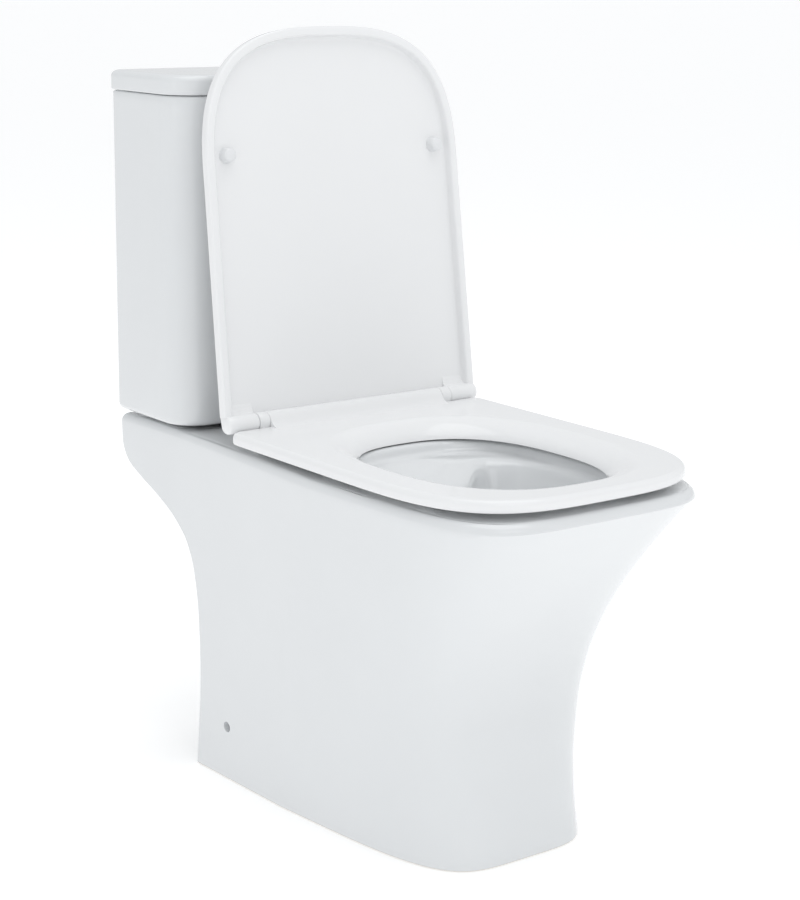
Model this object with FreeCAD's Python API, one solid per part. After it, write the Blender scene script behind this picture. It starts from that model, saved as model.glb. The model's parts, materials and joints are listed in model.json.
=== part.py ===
"""Close coupled toilet: one STEP file per named piece, in millimetres, +Z up.

The origin is on the floor under the middle of the whole toilet. -Y is the front, +X is the
right hand side of somebody who looks at the front. The seat ring is down and the seat lid
is up, leaning back towards the cistern.
"""
import FreeCAD, Part
import math
import os

Vector = FreeCAD.Vector

# ---- driving dimensions -------------------------------------------------------------------

# pan: outer shell, from the floor to the rim
RIM_Z = 402.0                 # top of the rim and of the cistern platform
RIM_CREST_Z = 392.0           # where the rim's outer edge starts to round over
BACK_Y = 330.0                # rear face of platform and cistern
DECK_THICKNESS = 18.0
SHELL_WALL = 12.0
# (z, y) of the front on the centre line and of the rear edge of the skirt
FRONT_PROFILE = [(0, -220), (50, -210), (100, -204), (150, -203), (200, -210), (240, -224),
                 (280, -245), (320, -272), (350, -295), (372, -313), (392, -330)]
BACK_PROFILE = [(0, 214), (50, 208), (100, 201), (150, 197), (200, 195), (240, 198), (270, 208),
                (295, 231), (315, 263), (332, 297), (345, 318), (356, 326), (368, 329.5),
                (380, 330), (392, 330)]
BASE_HALF_WIDTH, RIM_HALF_WIDTH = 135.5, 175.0
BASE_TAPER, RIM_TAPER = 0.177, 0.076          # narrowing towards the front
BASE_BEND_Y, RIM_BEND_Y = 43.5, -61.0         # where the sides start to turn in
BASE_POWER, RIM_POWER = 4.6, 5.3              # squareness of the front corners
BASE_SIDE_SLOPE, RIM_SIDE_SLOPE = 0.028, -0.051
PLATFORM_FLARE, FLARE_START_Y = 14.8, 156.0   # the platform widens again under the cistern
WIDTH_GROWTH = 1.75

# bowl, trap and soil outlet
BOWL_WALL = 9.0
TRAP_BORE_R, TRAP_WALL = 27.0, 8.0
OUTLET_Z, OUTLET_END_Y = 190.0, 320.0
OUTLET_OUTER_R, OUTLET_BORE_R = 51.0, 43.0
DUCT_BORE_R, DUCT_Z, CUP_BORE_R = 19.0, 352.0, 35.0
SIDE_HOLE_R, SIDE_HOLE_Y, SIDE_HOLE_Z = 6.25, 147.0, 64.0
HEEL_Y, HEEL_TOP = 112.0, 118.0               # the skirt's rear corners, with the side holes

# cistern and its lid
TANK_HALF_WIDTH, TANK_FRONT_Y = 172.0, 185.0
TANK_BOTTOM_Z, TANK_TOP_Z = 407.0, 771.5
TANK_WALL, TANK_FLOOR = 9.0, 10.0
TANK_FRONT_R, TANK_BACK_R, TANK_BOTTOM_R = 38.0, 10.0, 8.5
TANK_LID_TOP_Z, TANK_LID_OVERHANG, TANK_LID_PLATE = 794.0, 1.5, 10.0
WALL_FIX_X, WALL_FIX_Z, WALL_FIX_R = 100.0, 700.0, 4.0

# fittings in the cistern
VALVE_Y = 270.0               # flush valve and coupling bolts
COUPLING_X, COUPLING_BOLT_R = 90.0, 3.9
SHANK_R, SHANK_BORE_R = 30.0, 24.0
GASKET_R, BACK_NUT_R = 52.0, 40.0
VALVE_SEAT_Z = 446.0
ROCKER_Z, ROCKER_ARM, ROCKER_X = 650.0, 20.0, 14.0
BUTTON_Y, BUTTON_R = 254.0, 20.0
ROD_R = 3.0
INLET_X, INLET_Y = 120.0, 257.0
INLET_R, INLET_SHANK_R = 10.48, 11.0           # tail for the tap connector, shank in the floor
INLET_BOTTOM_Z, INLET_SHANK_Z = 362.0, 396.0
FLOAT_ARM, LEVER_Z = 30.0, 672.0

# seat
HINGE_Y, HINGE_Z, BARREL_R = 97.0, 428.0, 10.0
BARREL_HALF, POST_HALF, BOSS_END = 118.0, 131.0, 166.0
PIN_R, PIN_CLEARANCE, SLEEVE_R = 3.5, 0.05, 7.0
RING_BOTTOM_Z, RING_TOP_Z, RING_BACK_Y, RING_FRONT_Y = 410.0, 423.0, 90.0, -326.0
RING_HALF_WIDTH, RING_TAPER, RING_BEND_Y, RING_POWER = 171.5, 0.01, -119.0, 3.4
RING_CORNER_R, RING_EDGE_R = 13.0, 4.5
HOLE_HALF_WIDTH, HOLE_BACK_Y, HOLE_FRONT_Y, HOLE_POWER = 107.0, -10.0, -269.0, 3.0
LID_OPEN_DEG = 97.55
LID_HALF_WIDTH, LID_END_HALF_WIDTH, LID_LENGTH = 171.5, 168.0, 431.0
LID_THICKNESS, LID_PANEL, LID_BORDER, LID_INNER_OFFSET = 13.0, 4.0, 11.0, -2.7
LID_BUFFER_X, LID_BUFFER_REACH = 139.0, 287.0
SEAT_BOLT_X, SEAT_BOLT_Y, SEAT_BOLT_R = 77.5, 103.0, 4.0

GAP = 0.35                    # between pieces that move past each other
CHIP_SHARE = 0.1              # a cut's left over chips are under this share of the volume
SIDES = (-1, 1)


# ---- small helpers ------------------------------------------------------------------------

def mix(low, high, share):
    return low + (high - low) * share


def along(profile, z):
    """Straight line reading of a (z, y) profile."""
    for (z0, y0), (z1, y1) in zip(profile, profile[1:]):
        if z <= z1:
            return mix(y0, y1, (z - z0) / (z1 - z0))
    return profile[-1][1]


def cyl(radius, x, y, z0, z1):
    return Part.makeCylinder(radius, z1 - z0, Vector(x, y, z0))


def cyl_x(radius, x0, x1, y, z):
    return Part.makeCylinder(radius, x1 - x0, Vector(x0, y, z), Vector(1, 0, 0))


def cyl_y(radius, y0, y1, x, z):
    return Part.makeCylinder(radius, y1 - y0, Vector(x, y0, z), Vector(0, 1, 0))


def tube(outer, inner, x, y, z0, z1):
    return cyl(outer, x, y, z0, z1).cut(cyl(inner, x, y, z0 - 1, z1 + 1))


def box(x0, x1, y0, y1, z0, z1):
    return Part.makeBox(x1 - x0, y1 - y0, z1 - z0, Vector(x0, y0, z0))


def hexagon(across_corners_r, x, y, z0, z1):
    corners = [Vector(x + across_corners_r * math.cos(math.radians(60 * i)),
                      y + across_corners_r * math.sin(math.radians(60 * i)), z0) for i in range(7)]
    return Part.Face(Part.makePolygon(corners)).extrude(Vector(0, 0, z1 - z0))


def fuse(shapes):
    joined = shapes[0]
    for shape in shapes[1:]:
        joined = joined.fuse(shape)
    return joined.removeSplitter()


def without_slivers(shape):
    """The shape's solids, less any chip that a cut has left beside them."""
    whole = [solid for solid in shape.Solids if solid.Volume > CHIP_SHARE * shape.Volume]
    return whole[0] if len(whole) == 1 else Part.makeCompound(whole)


def smooth_edge(points, closed=False):
    curve = Part.BSplineCurve()
    curve.interpolate(points, PeriodicFlag=closed)
    return curve.toShape()


def outline_wire(half, z):
    """A symmetric outline, closed by a straight edge at its back.

    half is the left hand half as (x, y), from the back corner to the centre line at the front.
    """
    left = [Vector(-x, y, z) for x, y in half]
    right = [Vector(x, y, z) for x, y in half[-2::-1]]
    curve = smooth_edge(left + right)
    return Part.Wire([curve, Part.LineSegment(right[-1], left[0]).toShape()])


def prism(wire, height):
    return Part.Face(wire).extrude(Vector(0, 0, height))


def loft(wires):
    return Part.makeLoft(wires, True, False)


def front_half(half_width, taper, bend_y, front_y, power, count=13):
    """Front end of an outline: a superellipse that narrows towards the front."""
    points = []
    for i in range(count):
        angle = math.pi / 2 * i / (count - 1)
        s = math.sin(angle) ** (2 / power)
        c = max(math.cos(angle), 0.0) ** (2 / power) if i < count - 1 else 0.0
        points.append((half_width * (1 - taper * s) * c, bend_y - (bend_y - front_y) * s))
    return points


def oval_wire(back_y, front_y, half_width, power, z, count=28):
    """A closed superellipse."""
    middle, reach = (back_y + front_y) / 2, (back_y - front_y) / 2
    points = []
    for i in range(count):
        angle = 2 * math.pi * i / count
        c, s = math.cos(angle), math.sin(angle)
        points.append(Vector(half_width * math.copysign(abs(c) ** (2 / power), c),
                             middle + reach * math.copysign(abs(s) ** (2 / power), s), z))
    return Part.Wire([smooth_edge(points, closed=True)])


def rounded_box(half_width, y0, y1, z0, z1, front_r, back_r):
    """A box whose upright edges are rounded."""
    block = box(-half_width, half_width, y0, y1, z0, z1)
    uprights = [e for e in block.Edges if abs(e.Vertexes[0].Z - e.Vertexes[1].Z) > 1]
    fronts = [e for e in uprights if e.Vertexes[0].Y < (y0 + y1) / 2]
    block = block.makeFillet(front_r, fronts)
    backs = [e for e in block.Edges if len(e.Vertexes) == 2
             and abs(e.Vertexes[0].Z - e.Vertexes[1].Z) > 1 and e.Vertexes[0].Y > y1 - 1
             and abs(abs(e.Vertexes[0].X) - half_width) < 1]
    return block.makeFillet(back_r, backs)


def round_level_edges(shape, z, radius):
    """Round the edges that lie in the horizontal plane at height z."""
    edges = [e for e in shape.Edges
             if abs(e.BoundBox.ZMin - z) < 0.01 and abs(e.BoundBox.ZMax - z) < 0.01]
    return shape.makeFillet(radius, edges)


# ---- pan ----------------------------------------------------------------------------------

def pan_half(z, inset=0.0, past_back=0.0):
    """Left hand half of the pan's outline at height z, moved inwards by inset."""
    share = (min(z, RIM_CREST_Z) / RIM_CREST_Z) ** WIDTH_GROWTH
    width = mix(BASE_HALF_WIDTH, RIM_HALF_WIDTH, share)
    bend_y = mix(BASE_BEND_Y, RIM_BEND_Y, share)
    slope = mix(BASE_SIDE_SLOPE, RIM_SIDE_SLOPE, share)
    back_y, front_y = along(BACK_PROFILE, z), along(FRONT_PROFILE, z)
    front = front_half(width, mix(BASE_TAPER, RIM_TAPER, share), bend_y, front_y,
                       mix(BASE_POWER, RIM_POWER, share))
    side = []
    side_count = 7
    for i in range(side_count):
        y = mix(back_y, bend_y, i / side_count)
        beyond = max(0.0, (y - FLARE_START_Y) / (BACK_Y - FLARE_START_Y))
        side.append((width + slope * (y - bend_y) + PLATFORM_FLARE * share * beyond ** 2, y))
    half = side + front
    if not inset:
        return half
    moved = []
    for i, (x, y) in enumerate(half):
        before, after = half[max(i - 1, 0)], half[min(i + 1, len(half) - 1)]
        run_x, run_y = after[0] - before[0], after[1] - before[1]
        if i == len(half) - 1:
            run_x, run_y = -1.0, 0.0
        length = math.hypot(run_x, run_y)
        moved.append((x + inset * run_y / length, y - inset * run_x / length))
    moved[0] = (moved[0][0], moved[0][1] + past_back)
    return moved


def pan_shell():
    """Outer skirt with the rim deck, open underneath and at the back."""
    levels = [0, 50, 100, 150, 200, 240, 270, 295, 315, 332, 345, 356, 368, 380, RIM_CREST_Z]
    body = loft([outline_wire(pan_half(z), z) for z in levels])
    edge_radius = RIM_Z - RIM_CREST_Z
    rounded = []
    for step in range(5):
        angle = math.pi / 2 * step / 4
        inset = edge_radius * (1 - math.cos(angle))
        rounded.append(outline_wire(pan_half(RIM_CREST_Z, inset),
                                    RIM_CREST_Z + edge_radius * math.sin(angle)))
    body = body.fuse(loft(rounded))
    deck_z = RIM_Z - DECK_THICKNESS
    hollow_levels = [-2] + levels[1:-1] + [deck_z]
    hollow = loft([outline_wire(pan_half(max(z, 0), SHELL_WALL, past_back=25.0), z)
                   for z in hollow_levels])
    return body.cut(hollow)


def bowl(grow=0.0):
    """The bowl's hollow, or with grow its outer skin."""
    top_z = RIM_Z if grow else RIM_Z + 1
    pocket = loft([oval_wire(-4 + grow, -277 - grow, 113 + grow, 3.2, top_z),
                   oval_wire(-8 + grow, -274 - grow, 110 + grow, 3.2, 382 - grow)])
    levels = [(384, -44, -272, 106, 3.0), (366, -52, -262, 99, 2.8), (320, -58, -244, 88, 2.6),
              (270, -60, -218, 74, 2.4), (220, -58, -186, 60, 2.2), (170, -52, -150, 46, 2.0),
              (128 - grow, -56, -116, 30, 2.0)]
    well = loft([oval_wire(back + grow, front - grow, width + grow, power, z)
                 for z, back, front, width, power in levels])
    return pocket.fuse(well)


def trap_path():
    """Centre line of the trap: from the sump over the weir and down to the outlet."""
    corners = [(-84, 152), (8, 152), (92, 238), (150, 238), (206, OUTLET_Z), (262, OUTLET_Z)]
    points = [Vector(0, y, z) for y, z in corners]
    edges = []
    start = points[0]
    for before, corner, after in zip(points, points[1:], points[2:]):
        into, out = (corner - before).normalize(), (after - corner).normalize()
        turn = into.getAngle(out)
        radius = 0.45 * min((corner - before).Length, (after - corner).Length) / math.tan(turn / 2)
        cut = radius * math.tan(turn / 2)
        arc_start, arc_end = corner - into * cut, corner + out * cut
        middle = (into * -1 + out).normalize()
        depth = radius * (1 / math.cos(turn / 2) - 1)
        edges.append(Part.LineSegment(start, arc_start).toShape())
        edges.append(Part.Arc(arc_start, corner + middle * depth, arc_end).toShape())
        start = arc_end
    edges.append(Part.LineSegment(start, points[-1]).toShape())
    return Part.Wire(edges)


def trap_pipe(radius):
    path = trap_path()
    first = path.Edges[0].Vertexes[0].Point
    section = Part.Wire([Part.makeCircle(radius, first, Vector(0, 1, 0))])
    return path.makePipeShell([section], True, True)


def make_pan():
    """The pan's china as its cast sections: deck with rim, skirt, heels, bowl, trap and duct."""
    cup_top, cup_bottom, cup_shoulder = RIM_Z - DECK_THICKNESS, 322.0, 364.0
    recess_z = RIM_Z - 16
    skin = bowl(BOWL_WALL)
    trap_bore = trap_pipe(TRAP_BORE_R)
    duct_bore = cyl_y(DUCT_BORE_R, -56, VALVE_Y, 0, DUCT_Z)
    cup_bore = cyl(CUP_BORE_R, 0, VALVE_Y, cup_bottom + 10, RIM_Z + 1)

    china = pan_shell()
    cuts = [skin, cup_bore, cyl(GASKET_R + 0.5, 0, VALVE_Y, recess_z, RIM_Z + 1),
            cyl_x(SIDE_HOLE_R, -200, 200, SIDE_HOLE_Y, SIDE_HOLE_Z),
            cyl(20, INLET_X, INLET_Y, RIM_Z - 40, RIM_Z + 1)]
    for side in SIDES:
        cuts.append(cyl(5.5, side * COUPLING_X, VALVE_Y, RIM_Z - 40, RIM_Z + 1))
        cuts.append(cyl(7.0, side * SEAT_BOLT_X, SEAT_BOLT_Y, RIM_Z - 40, RIM_Z + 1))
    for cut in cuts:
        china = china.cut(cut)

    trap = fuse([trap_pipe(TRAP_BORE_R + TRAP_WALL),
                 Part.makeCone(TRAP_BORE_R + TRAP_WALL, OUTLET_OUTER_R, 36,
                               Vector(0, 204, OUTLET_Z), Vector(0, 1, 0)),
                 cyl_y(OUTLET_OUTER_R, 238, OUTLET_END_Y, 0, OUTLET_Z)])
    trap = trap.cut(trap_bore).cut(skin).cut(
        cyl_y(OUTLET_BORE_R, 244, OUTLET_END_Y + 1, 0, OUTLET_Z))

    duct = fuse([cyl(58.5, 0, VALVE_Y, cup_shoulder, cup_top),
                 cyl(44, 0, VALVE_Y, cup_bottom, cup_shoulder + 1),
                 cyl_y(DUCT_BORE_R + 7, -50, VALVE_Y, 0, DUCT_Z)])
    duct = duct.cut(duct_bore).cut(cup_bore).cut(skin)
    deck_zone = box(-200, 200, -400, 400, cup_top, RIM_Z + 1)
    heel_zone = box(-200, 200, HEEL_Y, 400, -1, HEEL_TOP)
    sections = {"pan": china.common(deck_zone), "pan_heels": china.common(heel_zone),
                "pan_skirt": china.cut(deck_zone).cut(heel_zone),
                "pan_bowl": skin.cut(bowl()).cut(trap_bore).cut(duct_bore),
                "pan_trap": trap, "pan_flush_duct": duct}
    return {name: without_slivers(section) for name, section in sections.items()}


# ---- cistern ------------------------------------------------------------------------------

def make_cistern():
    outer = rounded_box(TANK_HALF_WIDTH, TANK_FRONT_Y, BACK_Y, TANK_BOTTOM_Z, TANK_TOP_Z,
                        TANK_FRONT_R, TANK_BACK_R)
    outer = round_level_edges(outer, TANK_BOTTOM_Z, TANK_BOTTOM_R)
    inner = rounded_box(TANK_HALF_WIDTH - TANK_WALL, TANK_FRONT_Y + TANK_WALL, BACK_Y - TANK_WALL,
                        TANK_BOTTOM_Z + TANK_FLOOR, TANK_TOP_Z + 5, TANK_FRONT_R - TANK_WALL, 4)
    tank = outer.cut(inner)
    tank = tank.cut(cyl(31.5, 0, VALVE_Y, TANK_BOTTOM_Z - 1, TANK_BOTTOM_Z + 20))
    tank = tank.cut(cyl(11.5, INLET_X, INLET_Y, TANK_BOTTOM_Z - 1, TANK_BOTTOM_Z + 20))
    for side in SIDES:
        tank = tank.cut(cyl(5.0, side * COUPLING_X, VALVE_Y, TANK_BOTTOM_Z - 1, TANK_BOTTOM_Z + 20))
        tank = tank.cut(cyl_y(WALL_FIX_R, BACK_Y - 20, BACK_Y + 1, side * WALL_FIX_X, WALL_FIX_Z))
    return tank


def make_cistern_lid():
    over = TANK_LID_OVERHANG
    bottom = TANK_TOP_Z + 0.5
    outer = rounded_box(TANK_HALF_WIDTH + over, TANK_FRONT_Y - over, BACK_Y, bottom,
                        TANK_LID_TOP_Z, TANK_FRONT_R + over, TANK_BACK_R)
    outer = round_level_edges(outer, TANK_LID_TOP_Z, 7.0)
    inset = TANK_WALL + 1.5
    pocket = rounded_box(TANK_HALF_WIDTH - inset, TANK_FRONT_Y + inset, BACK_Y - inset,
                         bottom - 1, TANK_LID_TOP_Z - TANK_LID_PLATE, TANK_FRONT_R - inset, 3)
    lid = outer.cut(pocket)
    for x in (-120, 120):
        for y in (TANK_FRONT_Y + TANK_WALL + 1.0, BACK_Y - TANK_WALL - 5.0):
            lid = lid.fuse(box(x - 15, x + 15, y, y + 4, bottom - 10, TANK_LID_TOP_Z - 5))
    return lid.cut(cyl(23.8, 0, BUTTON_Y, bottom - 1, TANK_LID_TOP_Z + 1)).removeSplitter()


def make_coupling():
    bolts, rubbers, steels, nuts = [], [], [], []
    floor_z = TANK_BOTTOM_Z + TANK_FLOOR
    under_deck = RIM_Z - DECK_THICKNESS
    for side in SIDES:
        x = side * COUPLING_X
        rubbers.append(tube(12, COUPLING_BOLT_R, x, VALVE_Y, floor_z, floor_z + 4))
        steels.append(tube(11, COUPLING_BOLT_R, x, VALVE_Y, floor_z + 4, floor_z + 5.5))
        bolts.append(fuse([hexagon(7.5, x, VALVE_Y, floor_z + 5.5, floor_z + 11),
                           cyl(COUPLING_BOLT_R, x, VALVE_Y, under_deck - 28, floor_z + 6)]))
        rubbers.append(tube(12, COUPLING_BOLT_R, x, VALVE_Y, under_deck - 4, under_deck))
        steels.append(tube(11, COUPLING_BOLT_R, x, VALVE_Y, under_deck - 5.5, under_deck - 4))
        wings = box(x - 16, x + 16, VALVE_Y - 1.5, VALVE_Y + 1.5, under_deck - 19, under_deck - 9)
        hub = cyl(8, x, VALVE_Y, under_deck - 15, under_deck - 5.5)
        nuts.append(hub.fuse(wings).cut(cyl(COUPLING_BOLT_R, x, VALVE_Y, under_deck - 30, RIM_Z)))
    return {"coupling_bolts": bolts, "coupling_rubber_washers": rubbers,
            "coupling_steel_washers": steels, "coupling_wing_nuts": nuts}


# ---- flush valve --------------------------------------------------------------------------

def make_flush_valve():
    """Fixed body: base with the seat, four legs, top plate and the rockers' pivots."""
    floor_z = TANK_BOTTOM_Z + TANK_FLOOR
    plate_z = 626.0
    cage_top = 474.0
    parts = [cyl(37, 0, VALVE_Y, floor_z, floor_z + 6),
             cyl(30, 0, VALVE_Y, floor_z, VALVE_SEAT_Z - 6),
             cyl(27, 0, VALVE_Y, VALVE_SEAT_Z - 6, VALVE_SEAT_Z),
             cyl(SHANK_R, 0, VALVE_Y, 368, floor_z + 1),
             box(-52, -20, VALVE_Y - 13, VALVE_Y + 13, floor_z, floor_z + 21),
             cyl(15, -54, VALVE_Y, floor_z, floor_z + 33)]
    body = fuse(parts).cut(cyl(SHANK_BORE_R, 0, VALVE_Y, 360, VALVE_SEAT_Z + 1))
    body = body.cut(cyl_x(7, -54, -10, VALVE_Y, floor_z + 11))
    body = body.cut(cyl(9, -54, VALVE_Y, floor_z + 4, floor_z + 40))
    body = body.cut(cyl(11, -54, VALVE_Y, floor_z + 20, floor_z + 40))
    legs = []
    for quarter in range(4):
        angle = math.radians(45 + 90 * quarter)
        leg = box(31, 35, -4, 4, floor_z + 3, plate_z + 2)
        leg.rotate(Vector(0, 0, 0), Vector(0, 0, 1), math.degrees(angle))
        leg.translate(Vector(0, VALVE_Y, 0))
        legs.append(leg)
    hoop = tube(36, 32.5, 0, VALVE_Y, cage_top + 60, cage_top + 66)
    plate = tube(36, 5.0, 0, VALVE_Y, plate_z, plate_z + 4)
    cheeks = []
    for side in SIDES:
        x0, x1 = sorted((side * (ROCKER_X + 5.6), side * (ROCKER_X + 9)))
        cheeks.append(box(x0, x1, VALVE_Y - 7, VALVE_Y + 7, plate_z + 3, ROCKER_Z + 6))
        s0, s1 = sorted((side * (ROCKER_X - 5.6), side * (ROCKER_X + 6)))
        cheeks.append(cyl_x(2.5, s0, s1, VALVE_Y, ROCKER_Z))
    return fuse([body] + legs + [hoop, plate] + cheeks)


def make_plunger():
    """Rising part: float cup, seal carrier and the stem with its cross arm."""
    arm_z = ROCKER_Z + 3.6
    cup = cyl(26, 0, VALVE_Y, VALVE_SEAT_Z + 12, VALVE_SEAT_Z + 60)
    cup = cup.cut(cyl(23, 0, VALVE_Y, VALVE_SEAT_Z + 15, VALVE_SEAT_Z + 61))
    carrier = cyl(20, 0, VALVE_Y, VALVE_SEAT_Z + 0.3, VALVE_SEAT_Z + 13)
    guide = cyl(9, 0, VALVE_Y, VALVE_SEAT_Z - 16, VALVE_SEAT_Z + 2)
    stem = cyl(4, 0, VALVE_Y, VALVE_SEAT_Z + 10, ROCKER_Z + 14)
    neck = box(-7, 7, VALVE_Y - 6, VALVE_Y + 14, arm_z, arm_z + 4.4)
    bar = box(-7, ROCKER_X + 5, VALVE_Y + 11, VALVE_Y + 23, arm_z, arm_z + 4.4)
    return fuse([cup, carrier, guide, stem, neck, bar])


def make_half_sleeve():
    """Collar round the stem whose arm lies over the half flush rocker."""
    arm_z = ROCKER_Z + 3.6
    back_y = VALVE_Y + 22.0
    collar = cyl(7.3, 0, VALVE_Y, ROCKER_Z - 19, ROCKER_Z - 12)
    reach = box(-ROCKER_X - 4, -ROCKER_X + 4, VALVE_Y - 2, back_y + 4, ROCKER_Z - 19, ROCKER_Z - 14)
    link = box(-ROCKER_X - 4, 0, VALVE_Y - 3, VALVE_Y + 3, ROCKER_Z - 19, ROCKER_Z - 14)
    post = box(-ROCKER_X - 4, -ROCKER_X + 4, back_y, back_y + 4, ROCKER_Z - 19, arm_z + 4.4)
    finger = box(-ROCKER_X - 4, -ROCKER_X + 4, VALVE_Y + 11, back_y + 4, arm_z, arm_z + 4.4)
    return fuse([collar, reach, link, post, finger]).cut(
        cyl(4 + GAP, 0, VALVE_Y, ROCKER_Z - 30, ROCKER_Z))


def make_rocker(side):
    x0 = side * ROCKER_X - 4.6
    rocker = fuse([cyl_x(5.2, x0, x0 + 9.2, VALVE_Y, ROCKER_Z),
                   box(x0, x0 + 9.2, VALVE_Y - ROCKER_ARM - 2, VALVE_Y + ROCKER_ARM,
                       ROCKER_Z - 2.5, ROCKER_Z + 2.5)])
    return rocker.cut(cyl_x(2.5 + PIN_CLEARANCE, x0 - 1, x0 + 11, VALVE_Y, ROCKER_Z))


# ---- fill valve ---------------------------------------------------------------------------

def make_fill_valve():
    floor_z = TANK_BOTTOM_Z + TANK_FLOOR
    head_z = LEVER_Z - 30
    body = fuse([cyl(INLET_R, INLET_X, INLET_Y, INLET_BOTTOM_Z, INLET_SHANK_Z + 1),
                 cyl(INLET_SHANK_R, INLET_X, INLET_Y, INLET_SHANK_Z, floor_z + 4),
                 hexagon(18, INLET_X, INLET_Y, floor_z + 3, floor_z + 10),
                 cyl(13, INLET_X, INLET_Y, floor_z + 9, head_z + 1),
                 cyl(17, INLET_X, INLET_Y, head_z, LEVER_Z - 12)])
    body = body.cut(cyl(6.5, INLET_X, INLET_Y, INLET_BOTTOM_Z - 1, head_z + 6))
    pivot_x = INLET_X + 8
    for side in SIDES:
        y0, y1 = sorted((INLET_Y + side * 5.6, INLET_Y + side * 8.6))
        body = body.fuse(box(pivot_x - 4, pivot_x + 4, y0, y1, LEVER_Z - 13, LEVER_Z + 5))
    body = body.fuse(cyl_y(2.0, INLET_Y - 7, INLET_Y + 7, pivot_x, LEVER_Z))
    return body.removeSplitter()


def make_fill_float():
    low, high = 560.0, 622.0
    cup = tube(31, 13 + GAP, INLET_X, INLET_Y, low, high)
    return cup.cut(tube(29, 15.5, INLET_X, INLET_Y, low - 1, high - 3)).removeSplitter()


def make_float_rod():
    """Adjusting rod that stands on the float and lifts the lever with its collar."""
    x = INLET_X + 8 - FLOAT_ARM
    return fuse([cyl(2, x, INLET_Y, 622, LEVER_Z + 8),
                 cyl(3, x, INLET_Y, LEVER_Z - 10, LEVER_Z - 3.5),
                 cyl(4.5, x, INLET_Y, 622, 628)])


def make_fill_lever():
    pivot_x = INLET_X + 8
    slot_x = pivot_x - FLOAT_ARM
    bar = box(slot_x - 11, pivot_x + 2, INLET_Y - 4.6, INLET_Y + 4.6, LEVER_Z - 2, LEVER_Z + 2)
    lever = bar.fuse(cyl_y(5, INLET_Y - 4.6, INLET_Y + 4.6, pivot_x, LEVER_Z))
    lever = lever.cut(cyl_y(2 + PIN_CLEARANCE, INLET_Y - 10, INLET_Y + 10, pivot_x, LEVER_Z))
    return lever.cut(box(slot_x - 6, slot_x + 7, INLET_Y - 2.6, INLET_Y + 2.6,
                         LEVER_Z - 5, LEVER_Z + 5)).removeSplitter()


# ---- flush button -------------------------------------------------------------------------

def make_bezel():
    top = TANK_LID_TOP_Z
    bezel = cyl(29, 0, BUTTON_Y, top, top + 4).fuse(cyl(23.7, 0, BUTTON_Y, top - 40, top + 1))
    bezel = round_level_edges(bezel.removeSplitter(), top + 4, 2.5)
    bezel = bezel.cut(cyl(BUTTON_R + GAP, 0, BUTTON_Y, top - 22, top + 10))
    guide = cyl(21.5, 0, BUTTON_Y, top - 41, top - 26)
    bezel = bezel.cut(guide)
    for side in SIDES:
        bezel = bezel.cut(cyl(ROD_R + 1.5, side * 12.0, VALVE_Y - ROCKER_ARM, top - 50, top))
    return bezel


def make_button(side, split_x):
    """One half of the round push button; side is -1 for half flush and 1 for full flush."""
    top = TANK_LID_TOP_Z + 3.5
    disc = cyl(BUTTON_R, 0, BUTTON_Y, top - 9, top)
    keep = box(split_x + GAP / 2, 40, 200, 300, top - 20, top + 1) if side > 0 else box(
        -40, split_x - GAP / 2, 200, 300, top - 20, top + 1)
    button = disc.common(keep)
    return button.fuse(cyl(4.2, side * 12.0, VALVE_Y - ROCKER_ARM, top - 13, top - 8))


def make_rod(side):
    """Push rod, pressed into the button, with a round tip just above its rocker."""
    x, y = side * 12.0, VALVE_Y - ROCKER_ARM
    tip_z = ROCKER_Z + 2.5 + 1.2
    button_under = TANK_LID_TOP_Z + 3.5 - 13
    return fuse([cyl(ROD_R, x, y, tip_z + ROD_R, button_under),
                 Part.makeSphere(ROD_R, Vector(x, y, tip_z + ROD_R))])


# ---- seat ---------------------------------------------------------------------------------

def ring_wire(z):
    """Outline of the seat ring: straight back and sides, round back corners, full front."""
    front = front_half(RING_HALF_WIDTH, RING_TAPER, RING_BEND_Y, RING_FRONT_Y, RING_POWER)
    left = [Vector(-x, y, z) for x, y in front]
    right = [Vector(x, y, z) for x, y in front[-2::-1]]
    edges = [smooth_edge(left + right)]
    corner, bulge = RING_CORNER_R, RING_CORNER_R * (1 - math.sqrt(0.5))
    for side in SIDES:
        x = side * RING_HALF_WIDTH
        side_end = Vector(x, RING_BACK_Y - corner, z)
        back_end = Vector(x - side * corner, RING_BACK_Y, z)
        middle = Vector(x - side * bulge, RING_BACK_Y - bulge, z)
        edges.append(Part.LineSegment(Vector(x, RING_BEND_Y, z), side_end).toShape())
        edges.append(Part.Arc(side_end, middle, back_end).toShape())
    back_x = RING_HALF_WIDTH - corner
    edges.append(Part.LineSegment(Vector(-back_x, RING_BACK_Y, z),
                                  Vector(back_x, RING_BACK_Y, z)).toShape())
    return Part.Wire(Part.__sortEdges__(edges))


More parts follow.
